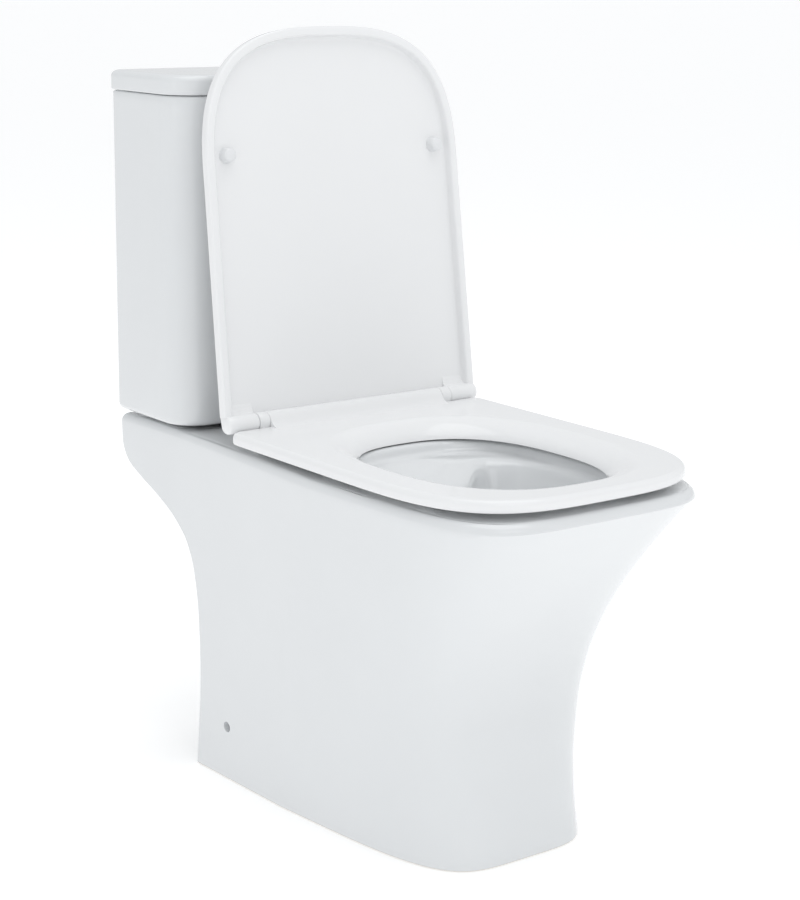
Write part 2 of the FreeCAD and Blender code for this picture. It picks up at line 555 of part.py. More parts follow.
def make_seat_ring():
    plate = prism(ring_wire(RING_BOTTOM_Z), RING_TOP_Z - RING_BOTTOM_Z)
    plate = round_level_edges(plate, RING_TOP_Z, RING_EDGE_R)
    plate = round_level_edges(plate, RING_BOTTOM_Z, RING_EDGE_R)
    dish = loft([oval_wire(HOLE_BACK_Y, HOLE_FRONT_Y, HOLE_HALF_WIDTH, HOLE_POWER,
                           RING_BOTTOM_Z - 1),
                 oval_wire(HOLE_BACK_Y, HOLE_FRONT_Y, HOLE_HALF_WIDTH, HOLE_POWER,
                           RING_TOP_Z - 9)])
    slope = loft([oval_wire(HOLE_BACK_Y, HOLE_FRONT_Y, HOLE_HALF_WIDTH, HOLE_POWER,
                            RING_TOP_Z - 9),
                  oval_wire(HOLE_BACK_Y + 26, HOLE_FRONT_Y - 14, HOLE_HALF_WIDTH + 22, HOLE_POWER,
                            RING_TOP_Z + 1)])
    ring = plate.cut(dish).cut(slope)
    groove = [cyl_x(BARREL_R + 0.8, BARREL_HALF, 180, HINGE_Y, HINGE_Z),
              cyl_x(BARREL_R + 0.8, -180, -BARREL_HALF, HINGE_Y, HINGE_Z)]
    for cut in groove:
        ring = ring.cut(cut)
    barrel = cyl_x(BARREL_R, -BARREL_HALF, BARREL_HALF, HINGE_Y, HINGE_Z)
    web = box(-BARREL_HALF, BARREL_HALF, HINGE_Y - 18, HINGE_Y + 3, RING_BOTTOM_Z + 2, HINGE_Z)
    blend = box(-BARREL_HALF, BARREL_HALF, HINGE_Y - 16, HINGE_Y, HINGE_Z - 8, HINGE_Z + 5)
    round_off = cyl_x(12, -BARREL_HALF - 1, BARREL_HALF + 1, HINGE_Y - 18.5, HINGE_Z + 7)
    ring = fuse([ring, barrel, web, blend.cut(round_off)])
    for side in SIDES:
        x0, x1 = sorted((side * (BARREL_HALF - 48), side * (BARREL_HALF + 1)))
        ring = ring.cut(cyl_x(SLEEVE_R, x0, x1, HINGE_Y, HINGE_Z))
    return ring


def hinge_sleeve(side, x_near, x_far):
    """A round sleeve on the hinge pin: a soft close damper or a plain bush."""
    x0, x1 = sorted((side * x_near, side * x_far))
    sleeve = cyl_x(SLEEVE_R, x0, x1, HINGE_Y, HINGE_Z)
    return sleeve.cut(cyl_x(PIN_R + PIN_CLEARANCE, x0 - 1, x1 + 1, HINGE_Y, HINGE_Z))


def make_ring_buffers():
    places = [(s * 143.0, y) for s in SIDES for y in (-55.0, -235.0)]
    top = RING_BOTTOM_Z
    return [box(x - 5, x + 5, y - 16, y + 16, RIM_Z + GAP, top) for x, y in places]


def lid_half(inset=0.0):
    """Left hand half of the closed seat lid's outline, rear edge first."""
    rear_y = HINGE_Y + BARREL_R
    front_y = rear_y - LID_LENGTH + inset
    bend_y = rear_y - 0.617 * LID_LENGTH
    half = [(mix(LID_HALF_WIDTH, LID_END_HALF_WIDTH, i / 5) - inset, mix(rear_y, bend_y, i / 5))
            for i in range(5)]
    return half + front_half(LID_END_HALF_WIDTH - inset, 0.0, bend_y, front_y, 2.9)


def make_seat_lid():
    """Shallow tray, closed, with two hinge bosses; turned up to its open position at the end."""
    inner_z = HINGE_Z + LID_INNER_OFFSET
    outer_z = inner_z + LID_THICKNESS
    panel_z = outer_z - LID_PANEL
    tray = prism(outline_wire(lid_half(), inner_z), LID_THICKNESS)
    tray = round_level_edges(tray, outer_z, 3.5)
    pocket = prism(outline_wire(lid_half(LID_BORDER), inner_z - 1), panel_z - inner_z + 1)
    rear_keep = box(-LID_HALF_WIDTH - 5, LID_HALF_WIDTH + 5, HINGE_Y + 10.5, HINGE_Y + 40,
                    inner_z - 5, outer_z + 5)
    pocket = pocket.cut(rear_keep)
    lid = tray.cut(pocket)
    clear = POST_HALF + GAP
    lid = lid.cut(box(-clear, clear, HINGE_Y - 8.6, HINGE_Y + 30, inner_z - 5, outer_z + 5))
    bosses = [cyl_x(BARREL_R, *sorted((side * clear, side * BOSS_END)), HINGE_Y, HINGE_Z)
              for side in SIDES]
    lid = fuse([lid] + bosses)
    for side in SIDES:
        x0, x1 = sorted((side * (clear - 1), side * (BOSS_END - 4)))
        lid = lid.cut(cyl_x(SLEEVE_R, x0, x1, HINGE_Y, HINGE_Z))
    return open_lid(lid)


def open_lid(shape):
    shape.rotate(Vector(0, HINGE_Y, HINGE_Z), Vector(-1, 0, 0), LID_OPEN_DEG)
    return shape


def make_lid_buffers():
    panel_z = HINGE_Z + LID_INNER_OFFSET + LID_THICKNESS - LID_PANEL
    tip_z = RING_TOP_Z + GAP
    y = HINGE_Y - LID_BUFFER_REACH
    buffers = []
    for side in SIDES:
        knob = cyl(8.0, side * LID_BUFFER_X, y, tip_z, panel_z)
        buffers.append(open_lid(round_level_edges(knob, tip_z, 2.0)))
    return buffers


def make_hinge_fixings():
    posts, pins, bolts, bushes, nuts = [], [], [], [], []
    plate_top = RIM_Z + 4.5
    under_deck = RIM_Z - DECK_THICKNESS
    for side in SIDES:
        x0, x1 = sorted((side * (BARREL_HALF + GAP), side * POST_HALF))
        p0, p1 = sorted((side * 66.0, side * POST_HALF))
        head = cyl_x(BARREL_R, x0, x1, HINGE_Y, HINGE_Z)
        column = box(x0, x1, HINGE_Y - 5.5, HINGE_Y + BARREL_R, RIM_Z, HINGE_Z)
        base = box(p0, p1, SEAT_BOLT_Y - 11, SEAT_BOLT_Y + 12, RIM_Z, plate_top)
        post = fuse([head, column, base])
        post = post.cut(cyl_x(PIN_R, *sorted((side * 100.0, side * 140.0)), HINGE_Y, HINGE_Z))
        x = side * SEAT_BOLT_X
        post = post.cut(cyl(SEAT_BOLT_R, x, SEAT_BOLT_Y, RIM_Z - 1, plate_top + 1))
        posts.append(post)
        pins.append(cyl_x(PIN_R, *sorted((side * 76.0, side * (BOSS_END - 8))), HINGE_Y, HINGE_Z))
        head = cyl(7.0, x, SEAT_BOLT_Y, plate_top, plate_top + 3.8)
        bolts.append(fuse([round_level_edges(head, plate_top + 3.8, 1.8),
                           cyl(SEAT_BOLT_R, x, SEAT_BOLT_Y, under_deck - 26, plate_top + 1)]))
        bushes.append(fuse([cyl(7.0, x, SEAT_BOLT_Y, under_deck, RIM_Z),
                            cyl(12.0, x, SEAT_BOLT_Y, under_deck - 3, under_deck)]).cut(
                                cyl(SEAT_BOLT_R, x, SEAT_BOLT_Y, under_deck - 5, RIM_Z + 1)))
        wings = box(x - 14, x + 14, SEAT_BOLT_Y - 1.5, SEAT_BOLT_Y + 1.5,
                    under_deck - 17, under_deck - 7)
        nuts.append(cyl(8.5, x, SEAT_BOLT_Y, under_deck - 14, under_deck - 3).fuse(wings).cut(
            cyl(SEAT_BOLT_R, x, SEAT_BOLT_Y, under_deck - 30, RIM_Z)))
    return {"hinge_posts": posts, "hinge_pins": pins, "hinge_bolts": bolts,
            "hinge_rubber_bushes": bushes, "hinge_wing_nuts": nuts}


# ---- all the pieces -----------------------------------------------------------------------

def collect():
    floor_z = TANK_BOTTOM_Z + TANK_FLOOR
    lid_under = TANK_LID_TOP_Z - TANK_LID_PLATE
    split_x = -4.0
    pieces = {
        "cistern": make_cistern(),
        "cistern_lid": make_cistern_lid(),
        "doughnut_gasket": tube(GASKET_R, BACK_NUT_R + 1, 0, VALVE_Y, RIM_Z - 16, TANK_BOTTOM_Z),
        "flush_valve_body": make_flush_valve(),
        "flush_valve_washer": tube(BACK_NUT_R, SHANK_R, 0, VALVE_Y, TANK_BOTTOM_Z - 3, TANK_BOTTOM_Z),
        "flush_valve_back_nut": hexagon(BACK_NUT_R, 0, VALVE_Y, RIM_Z - 10, TANK_BOTTOM_Z - 3).cut(
            cyl(SHANK_R, 0, VALVE_Y, RIM_Z - 20, floor_z)),
        "overflow_pipe": tube(11, 9, -54, VALVE_Y, floor_z + 20, 712),
        "flush_plunger": make_plunger(),
        "plunger_seal": tube(27, 20, 0, VALVE_Y, VALVE_SEAT_Z + 0.3, VALVE_SEAT_Z + 3.3),
        "half_flush_sleeve": make_half_sleeve(),
        "full_flush_rocker": make_rocker(1),
        "half_flush_rocker": make_rocker(-1),
        "fill_valve_body": make_fill_valve(),
        "fill_valve_washer": tube(19, INLET_SHANK_R, INLET_X, INLET_Y, floor_z, floor_z + 3),
        "fill_valve_back_nut": hexagon(17, INLET_X, INLET_Y, TANK_BOTTOM_Z - 9,
                                       TANK_BOTTOM_Z).cut(
            cyl(INLET_SHANK_R, INLET_X, INLET_Y, TANK_BOTTOM_Z - 20, floor_z)),
        "fill_valve_cap": tube(19, 17, INLET_X, INLET_Y, LEVER_Z - 26, LEVER_Z - 14),
        "fill_float": make_fill_float(),
        "float_rod": make_float_rod(),
        "fill_lever": make_fill_lever(),
        "button_bezel": make_bezel(),
        "bezel_nut": tube(31, 23.7, 0, BUTTON_Y, lid_under - 8, lid_under),
        "full_flush_button": make_button(1, split_x),
        "half_flush_button": make_button(-1, split_x),
        "full_flush_rod": make_rod(1),
        "half_flush_rod": make_rod(-1),
        "seat_ring": make_seat_ring(),
        "seat_ring_buffers": make_ring_buffers(),
        "ring_damper": hinge_sleeve(-1, BARREL_HALF, BARREL_HALF - 47),
        "ring_bush": hinge_sleeve(1, BARREL_HALF, BARREL_HALF - 47),
        "seat_lid": make_seat_lid(),
        "seat_lid_buffers": make_lid_buffers(),
        "lid_damper": hinge_sleeve(1, POST_HALF + GAP, BOSS_END - 4),
        "lid_bush": hinge_sleeve(-1, POST_HALF + GAP, BOSS_END - 4),
    }
    pieces.update(make_pan())
    pieces.update(make_coupling())
    pieces.update(make_hinge_fixings())
    return pieces


def main():
    os.makedirs("parts", exist_ok=True)
    total = FreeCAD.BoundBox()
    for name, shape in collect().items():
        if isinstance(shape, list):
            shape = Part.makeCompound(shape)
        assert shape.isValid() and shape.Volume > 0, name
        total.add(shape.BoundBox)
        print(f"{name:26s} solids {len(shape.Solids)}  volume {shape.Volume / 1000:10.1f} cm3")
        shape.exportStep(f"parts/{name}.step")
    print("box", [round(v, 1) for v in (total.XMin, total.XMax, total.YMin, total.YMax,
                                        total.ZMin, total.ZMax)])


main()
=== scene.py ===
import sys
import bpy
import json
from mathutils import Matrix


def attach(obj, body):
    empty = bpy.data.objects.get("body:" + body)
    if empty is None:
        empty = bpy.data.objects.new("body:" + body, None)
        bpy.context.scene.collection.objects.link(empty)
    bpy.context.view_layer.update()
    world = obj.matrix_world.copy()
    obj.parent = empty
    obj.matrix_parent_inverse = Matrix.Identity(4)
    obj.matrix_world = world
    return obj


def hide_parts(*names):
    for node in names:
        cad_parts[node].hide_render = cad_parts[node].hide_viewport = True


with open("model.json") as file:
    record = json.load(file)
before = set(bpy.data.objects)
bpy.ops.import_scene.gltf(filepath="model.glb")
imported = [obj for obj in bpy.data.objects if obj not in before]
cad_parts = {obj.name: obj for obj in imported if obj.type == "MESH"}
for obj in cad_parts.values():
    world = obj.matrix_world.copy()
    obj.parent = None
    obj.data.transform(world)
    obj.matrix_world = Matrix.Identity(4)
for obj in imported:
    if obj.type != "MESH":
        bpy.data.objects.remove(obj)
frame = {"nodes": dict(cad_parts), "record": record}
"""Looks of a close coupled toilet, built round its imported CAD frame.

Lengths are in millimetres until a shell is built, and in metres after that. The origin is on
the floor, -Y is the front and +X the right hand side of somebody who faces the front.
"""
import json
import logging
import math
from dataclasses import dataclass, field
from enum import Enum

import bmesh
import bpy
import numpy as np
from mathutils import Matrix, Vector

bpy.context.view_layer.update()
METRE = 0.001
SIDES = (-1, 1)
LOG = logging.getLogger("toilet")

# places and sizes that several pieces share, in millimetres
RIM_Z = 402.0
BACK_Y = 330.0
COVER_TOP = 794.0
BUTTON_Y = 254.0
VALVE_Y = 270.0
FILL_VALVE = (120.0, 257.0)
COUPLING_X = 90.0
SEAT_BOLT_X, SEAT_BOLT_Y = 77.5, 103.0
THREAD_DEPTH = 0.42


class Slot(Enum):
    """The record's material slots."""

    GLAZE = "glazed_white"
    SEAT = "seat_plastic"
    HINGE = "hinge_plastic"
    BUFFER = "white_buffer"
    RUBBER = "grey_rubber"
    SEAL = "red_seal"
    FITTING = "white_fitting"
    BLUE = "blue_fitting"
    DAMPER = "damper_grey"
    CHROME = "button_chrome"
    STEEL = "bright_bolt"
    BRASS = "brass_rod"


class Axis(Enum):
    """Direction of a turned piece's centre line."""

    X = 0
    Y = 1
    Z = 2


# ---- finishes ---------------------------------------------------------------------------------


@dataclass(frozen=True)
class Finish:
    """A surface with a fine procedural grain.

    tint and shade are the two colours that the grain moves between, gloss the two roughness
    values, grain the size of the grain in millimetres and stretch its share along each axis.
    """

    name: str
    slot: Slot
    tint: tuple[float, float, float]
    shade: tuple[float, float, float]
    gloss: tuple[float, float] = (0.3, 0.35)
    metal: float = 0.0
    grain: float = 20.0
    stretch: tuple[float, float, float] = (1.0, 1.0, 1.0)
    relief: float = 0.02
    relief_depth: float = 0.1
    coat: float = 0.0
    coat_gloss: float = 0.03

    def material(self) -> bpy.types.Material:
        """The finish as a material, made once.

        Returns:
            The material, with its nodes in place.
        """
        found = bpy.data.materials.get(self.name)
        if found:
            return found
        made = bpy.data.materials.new(self.name)
        made.use_nodes = True
        self.wire(made.node_tree)
        return made

    def wire(self, tree: bpy.types.NodeTree) -> None:
        """Put the grain on colour, gloss and relief.

        Args:
            tree: The material's node tree, with its shader.
        """
        shader = tree.nodes["Principled BSDF"]
        shader.inputs["Metallic"].default_value = self.metal
        shader.inputs["Coat Weight"].default_value = self.coat
        shader.inputs["Coat Roughness"].default_value = self.coat_gloss
        place = tree.nodes.new("ShaderNodeTexCoord")
        scale = tree.nodes.new("ShaderNodeMapping")
        scale.inputs["Scale"].default_value = [s / (self.grain * METRE) for s in self.stretch]
        noise = tree.nodes.new("ShaderNodeTexNoise")
        noise.inputs["Detail"].default_value = 3.0
        noise.inputs["Scale"].default_value = 1.0
        tree.links.new(place.outputs["Object"], scale.inputs["Vector"])
        tree.links.new(scale.outputs["Vector"], noise.inputs["Vector"])
        blend = tree.nodes.new("ShaderNodeMix")
        blend.data_type = "RGBA"
        blend.inputs["A"].default_value = (*self.tint, 1.0)
        blend.inputs["B"].default_value = (*self.shade, 1.0)
        tree.links.new(noise.outputs["Fac"], blend.inputs["Factor"])
        tree.links.new(self.tinted(tree, blend.outputs["Result"]), shader.inputs["Base Color"])
        gloss = tree.nodes.new("ShaderNodeMapRange")
        gloss.inputs["To Min"].default_value, gloss.inputs["To Max"].default_value = self.gloss
        tree.links.new(noise.outputs["Fac"], gloss.inputs["Value"])
        tree.links.new(self.rubbed(tree, gloss.outputs["Result"]), shader.inputs["Roughness"])
        bump = tree.nodes.new("ShaderNodeBump")
        bump.inputs["Strength"].default_value = self.relief
        bump.inputs["Distance"].default_value = self.relief_depth * METRE
        tree.links.new(noise.outputs["Fac"], bump.inputs["Height"])
        tree.links.new(bump.outputs["Normal"], shader.inputs["Normal"])

    def tinted(self, tree: bpy.types.NodeTree,
               colour: bpy.types.NodeSocket) -> bpy.types.NodeSocket:
        """The colour that reaches the shader; a plain finish leaves it as it is."""
        return colour

    def rubbed(self, tree: bpy.types.NodeTree,
               gloss: bpy.types.NodeSocket) -> bpy.types.NodeSocket:
        """The roughness that reaches the shader; a plain finish leaves it as it is."""
        return gloss


@dataclass(frozen=True)
class Glaze(Finish):
    """Glazed vitreous china whose foot stays bare where it stood in the kiln."""

    bare: tuple[float, float, float] = (0.72, 0.69, 0.64)
    bare_gloss: float = 0.75
    bare_height: float = 1.6

    def foot(self, tree: bpy.types.NodeTree) -> bpy.types.NodeSocket:
        """1 on the bare foot and 0 on the glaze.

        Args:
            tree: The material's node tree.

        Returns:
            The socket that carries the share of bare china.
        """
        place = tree.nodes.new("ShaderNodeTexCoord")
        split = tree.nodes.new("ShaderNodeSeparateXYZ")
        share = tree.nodes.new("ShaderNodeMapRange")
        share.inputs["From Min"].default_value = self.bare_height * METRE
        share.inputs["From Max"].default_value = self.bare_height * METRE * 0.6
        tree.links.new(place.outputs["Object"], split.inputs["Vector"])
        tree.links.new(split.outputs["Z"], share.inputs["Value"])
        return share.outputs["Result"]

    def tinted(self, tree: bpy.types.NodeTree,
               colour: bpy.types.NodeSocket) -> bpy.types.NodeSocket:
        """Bare china on the foot, the glaze's colour above it.

        Args:
            tree: The material's node tree.
            colour: The glaze's colour.

        Returns:
            The socket with both.
        """
        blend = tree.nodes.new("ShaderNodeMix")
        blend.data_type = "RGBA"
        blend.inputs["B"].default_value = (*self.bare, 1.0)
        tree.links.new(self.foot(tree), blend.inputs["Factor"])
        tree.links.new(colour, blend.inputs["A"])
        return blend.outputs["Result"]

    def rubbed(self, tree: bpy.types.NodeTree,
               gloss: bpy.types.NodeSocket) -> bpy.types.NodeSocket:
        """Matt on the foot, the glaze's gloss above it.

        Args:
            tree: The material's node tree.
            gloss: The glaze's roughness.

        Returns:
            The socket with both.
        """
        blend = tree.nodes.new("ShaderNodeMix")
        blend.inputs["B"].default_value = self.bare_gloss
        tree.links.new(self.foot(tree), blend.inputs["Factor"])
        tree.links.new(gloss, blend.inputs["A"])
        return blend.outputs["Result"]


WHITE_GLAZE = Glaze("white_glaze", Slot.GLAZE, (0.765, 0.78, 0.79), (0.74, 0.755, 0.765),
                    gloss=(0.06, 0.11), grain=90.0, relief=0.35, relief_depth=0.25,
                    coat=0.35, coat_gloss=0.04)
SEAT_WHITE = Finish("seat_white", Slot.SEAT, (0.87, 0.875, 0.88), (0.855, 0.86, 0.865),
                    gloss=(0.08, 0.13), grain=60.0, relief=0.15, relief_depth=0.12)
HINGE_WHITE = Finish("hinge_white", Slot.HINGE, (0.87, 0.875, 0.88), (0.85, 0.855, 0.86),
                     gloss=(0.2, 0.28), grain=30.0)
BUFFER_WHITE = Finish("buffer_white", Slot.BUFFER, (0.80, 0.81, 0.82), (0.77, 0.78, 0.79),
                      gloss=(0.42, 0.55), grain=3.0, relief=0.08)
GREY_RUBBER = Finish("grey_rubber_skin", Slot.RUBBER, (0.10, 0.10, 0.105), (0.06, 0.06, 0.065),
                     gloss=(0.65, 0.85), grain=2.0, relief=0.3, relief_depth=0.2)
RED_SEAL = Finish("red_seal_skin", Slot.SEAL, (0.50, 0.07, 0.05), (0.38, 0.05, 0.04),
                  gloss=(0.45, 0.6), grain=4.0, relief=0.1)
FITTING_WHITE = Finish("fitting_white", Slot.FITTING, (0.76, 0.76, 0.75), (0.71, 0.71, 0.70),
                       gloss=(0.38, 0.5), grain=6.0, relief=0.1)
FITTING_BLUE = Finish("fitting_blue", Slot.BLUE, (0.05, 0.20, 0.52), (0.04, 0.16, 0.44),
                      gloss=(0.38, 0.5), grain=6.0, relief=0.1)
DAMPER_GREY = Finish("damper_grey_skin", Slot.DAMPER, (0.32, 0.33, 0.34), (0.27, 0.28, 0.29),
                     gloss=(0.4, 0.5), grain=5.0)
CHROME = Finish("button_chrome_plate", Slot.CHROME, (0.86, 0.87, 0.88), (0.80, 0.81, 0.82),
                gloss=(0.06, 0.11), metal=1.0, grain=40.0, relief=0.02)
STEEL = Finish("bolt_steel", Slot.STEEL, (0.62, 0.62, 0.61), (0.48, 0.48, 0.47),
               gloss=(0.24, 0.42), metal=1.0, grain=1.2, stretch=(1.0, 1.0, 0.12), relief=0.1)
BRASS = Finish("rod_brass", Slot.BRASS, (0.78, 0.58, 0.26), (0.64, 0.46, 0.20),
               gloss=(0.25, 0.4), metal=1.0, grain=4.0, relief=0.05)


# ---- curves -----------------------------------------------------------------------------------


def mix(low: float, high: float, share: float) -> float:
    """A value between two others."""
    return low + (high - low) * share


def flow(keys: np.ndarray, values: np.ndarray, at: np.ndarray) -> np.ndarray:
    """A smooth curve through keyed values that never overshoots them.

    Args:
        keys: Rising positions.
        values: One value for each.
        at: Where the curve is read.

    Returns:
        The curve's values.
    """
    keys, values = np.asarray(keys, float), np.asarray(values, float)
    step = np.diff(keys)
    slope = np.diff(values) / step
    tangent = np.zeros_like(values)
    tangent[0], tangent[-1] = slope[0], slope[-1]
    same = slope[1:] * slope[:-1] > 0
    harmonic = 2 * slope[1:] * slope[:-1] / np.where(same, slope[1:] + slope[:-1], 1.0)
    tangent[1:-1] = np.where(same, harmonic, 0.0)
    i = np.clip(np.searchsorted(keys, at) - 1, 0, len(step) - 1)
    t = (np.asarray(at, float) - keys[i]) / step[i]
    return (values[i] * (1 + 2 * t) * (1 - t) ** 2 + tangent[i] * step[i] * t * (1 - t) ** 2
            + values[i + 1] * t * t * (3 - 2 * t) + tangent[i + 1] * step[i] * t * t * (t - 1))


def spread(curve: np.ndarray, count: int, crowd: float = 60.0) -> np.ndarray:
    """Points along a flat curve, closer together where it bends.

    Args:
        curve: Many points of the curve, as rows of x and y.
        count: How many points are wanted.
        crowd: Millimetres of extra length for each radian of bend.

    Returns:
        The points.
    """
    step = np.diff(curve, axis=0)
    heading = np.unwrap(np.arctan2(step[:, 1], step[:, 0]))
    weight = np.linalg.norm(step, axis=1) + crowd * np.abs(np.diff(heading, prepend=heading[0]))
    where = np.concatenate(([0.0], np.cumsum(weight)))
    at = np.linspace(0.0, where[-1], count)
    return np.column_stack([np.interp(at, where, curve[:, k]) for k in range(2)])


def inward(curve: np.ndarray, inset: float) -> np.ndarray:
    """A right hand half outline, back to front, moved inwards by inset.

    Args:
        curve: Rows of x and y.
        inset: How far it is moved.

    Returns:
        The moved rows, still ending on the centre line.
    """
    run = np.gradient(curve, axis=0)
    run /= np.maximum(np.linalg.norm(run, axis=1), 1e-9)[:, None]
    moved = curve + inset * np.column_stack((run[:, 1], -run[:, 0]))
    moved[-1] = (0.0, moved[-1][1])
    return moved


def quarter(power: float, count: int = 140) -> tuple[np.ndarray, np.ndarray]:
    """A superellipse's quarter from (0, 1) to (1, 0), as how far forward and how wide.

    Args:
        power: Its squareness.
        count: Points on each half of it.

    Returns:
        The distances forward, and the widths.
    """
    half = np.linspace(0.0, 0.5 ** (1 / power), count)
    other = (1 - half ** power) ** (1 / power)
    return np.concatenate((half, other[-2::-1])), np.concatenate((other, half[-2::-1]))


def oval(angle: np.ndarray, back: float, front: float, half_width: float,
         power: float) -> np.ndarray:
    """Points of a superellipse at the given directions from its middle.

    Args:
        angle: Directions in radians, 0 to the right.
        back: The oval's rear end.
        front: Its front end.
        half_width: Half its width.
        power: Its squareness.

    Returns:
        Rows of x and y.
    """
    middle, reach = (back + front) / 2, (back - front) / 2
    radius = (np.abs(np.cos(angle) / half_width) ** power
              + np.abs(np.sin(angle) / reach) ** power) ** (-1 / power)
    return np.column_stack((radius * np.cos(angle), middle + radius * np.sin(angle)))


def arc(centre: tuple[float, float], radius: float, start: float, end: float,
        count: int) -> np.ndarray:
    """Points of a flat arc, its angles in degrees."""
    a = np.radians(np.linspace(start, end, count))
    return np.column_stack((centre[0] + radius * np.cos(a), centre[1] + radius * np.sin(a)))


def level(flat: np.ndarray, z: float | np.ndarray) -> np.ndarray:
    """A flat loop lifted to height z."""
    return np.column_stack((flat, np.broadcast_to(z, len(flat))))


def rounded_rectangle(half_width: float, front: float, back: float, front_r: float,
                      back_r: float, corner: int = 9) -> np.ndarray:
    """A closed loop with one radius at the front corners and one at the back.

    Args:
        half_width: Half its width.
        front: Its front edge.
        back: Its rear edge.
        front_r: The front corners' radius.
        back_r: The rear corners' radius.
        corner: Points on each corner.

    Returns:
        Rows of x and y, none far from the next.
    """
    parts = [arc((half_width - back_r, back - back_r), back_r, 0, 90, corner),
             arc((-half_width + back_r, back - back_r), back_r, 90, 180, corner),
             arc((-half_width + front_r, front + front_r), front_r, 180, 270, corner),
             arc((half_width - front_r, front + front_r), front_r, 270, 360, corner)]
    loop = np.vstack(parts)
    filled = []
    for here, after in zip(loop, np.roll(loop, -1, axis=0)):
        count = max(1, int(np.linalg.norm(after - here) // 16))
        filled += [here + (after - here) * i / count for i in range(count)]
    return np.array(filled)


# ---- shells -----------------------------------------------------------------------------------


@dataclass
class Shell:
    """Closed surfaces that are put together into one piece."""

    points: list[np.ndarray] = field(default_factory=list)
    faces: list[tuple[int, ...]] = field(default_factory=list)
    used: int = 0

    def add(self, points: np.ndarray, faces: list[tuple[int, ...]]) -> "Shell":
        """Add one closed surface, turned so that its faces point outwards.

        Args:
            points: Rows of x, y and z in millimetres.
            faces: Corners of each face.

        Returns:
            This shell.
        """
        middle = points.mean(axis=0)
        volume = 0.0
        for face in faces:
            first = points[face[0]] - middle
            for b, c in zip(face[1:], face[2:]):
                volume += float(np.dot(first, np.cross(points[b] - middle, points[c] - middle)))
        if volume < 0:
            faces = [face[::-1] for face in faces]
        self.faces += [tuple(i + self.used for i in face) for face in faces]
        self.points.append(points)
        self.used += len(points)
        return self

    def loops(self, rows: list[np.ndarray], ring: bool = False,
              caps: bool = True) -> "Shell":
        """Add a surface through closed loops with as many points each.

        Args:
            rows: The loops, as rows of x, y and z.
            ring: Join the last loop to the first one.
            caps: Close both ends with a flat face.

        Returns:
            This shell.
        """
        count, wide = len(rows), len(rows[0])
        faces = []
        for r in range(count if ring else count - 1):
            low, high = r * wide, (r + 1) % count * wide
            faces += [(low + c, low + (c + 1) % wide, high + (c + 1) % wide, high + c)
                      for c in range(wide)]
        if caps and not ring:
            faces += [tuple(range(wide))[::-1], tuple(range((count - 1) * wide, count * wide))]
        return self.add(np.vstack(rows), faces)

    def walled(self, outer: np.ndarray, inner: np.ndarray, wrap: bool,
               keep: np.ndarray, folded: bool = False) -> "Shell":
        """Add a wall between two grids of points, closed along all its edges.

        Args:
            outer: One side, as rows by columns by x, y and z.
            inner: The other side, in the same order.
            wrap: Join the last column to the first one.
            keep: Which cells of the grid there are.
            folded: The last row lies on itself, so it needs no edge.

        Returns:
            This shell.
        """
        rows, cols = outer.shape[:2]
        other = rows * cols
        faces, edges = [], set()
        for r in range(rows - 1):
            for c in range(cols if wrap else cols - 1):
                if keep[r, c]:
                    d = (c + 1) % cols
                    face = (r * cols + c, r * cols + d, (r + 1) * cols + d, (r + 1) * cols + c)
                    faces += [face, tuple(i + other for i in face[::-1])]
                    edges |= set(zip(face, face[1:] + face[:1]))
        last = (rows - 1) * cols if folded else other
        faces += [(b, a, a + other, b + other) for a, b in sorted(edges)
                  if (b, a) not in edges and min(a, b) < last]
        return self.add(np.vstack((outer.reshape(-1, 3), inner.reshape(-1, 3))), faces)

    def turned(self, profile: list[tuple[float, float]], centre: tuple[float, float, float],
               axis: Axis = Axis.Z, ring: bool = False, count: int = 48) -> "Shell":
        """Add a turned form.

        Args:
            profile: Radius and height of each point; a radius of 0 closes an end.
            centre: Where height 0 is.
            axis: Direction of the heights.
            ring: The profile is closed, as for a tube.
            count: Points round the form.

        Returns:
            This shell.
        """
        a = np.arange(count) * 2 * math.pi / count
        order = {Axis.X: (2, 0, 1), Axis.Y: (1, 2, 0), Axis.Z: (0, 1, 2)}[axis]
        rows = [np.column_stack((max(r, 1e-5) * np.cos(a), max(r, 1e-5) * np.sin(a),
                                 np.full(count, h)))[:, order] + np.array(centre)
                for r, h in profile]
        return self.loops(rows, ring=ring)

    def prism(self, flat: np.ndarray, start: float, end: float,
              axis: Axis = Axis.Z) -> "Shell":
        """Add a straight form with a flat outline.

        Args:
            flat: The outline; along X its rows are y and z, along Y x and z, along Z x and y.
            start: Where it starts along the axis.
            end: Where it ends.
            axis: Its direction.

        Returns:
            This shell.
        """
        return self.loops([np.insert(flat, axis.value, at, axis=1) for at in (start, end)])

    def block(self, low: tuple[float, float, float],
              high: tuple[float, float, float]) -> "Shell":
        """Add a plain block between two corners.

        Args:
            low: Its lowest corner.
            high: Its highest corner.

        Returns:
            This shell.
        """
        flat = np.array([(low[0], low[1]), (high[0], low[1]), (high[0], high[1]),
                         (low[0], high[1])])
        return self.prism(flat, low[2], high[2])

    def mesh(self, name: str) -> bpy.types.Mesh:
        """The shell as a mesh in metres, its doubled points merged.

        Args:
            name: The mesh's name.

        Returns:
            The mesh.
        """
        made = bpy.data.meshes.new(name)
        made.from_pydata((np.vstack(self.points) * METRE).tolist(), [], self.faces)
        work = bmesh.new()
        work.from_mesh(made)
        bmesh.ops.remove_doubles(work, verts=work.verts, dist=2e-7)
        bmesh.ops.dissolve_degenerate(work, edges=work.edges, dist=1e-7)
        work.to_mesh(made)
        work.free()
        return made


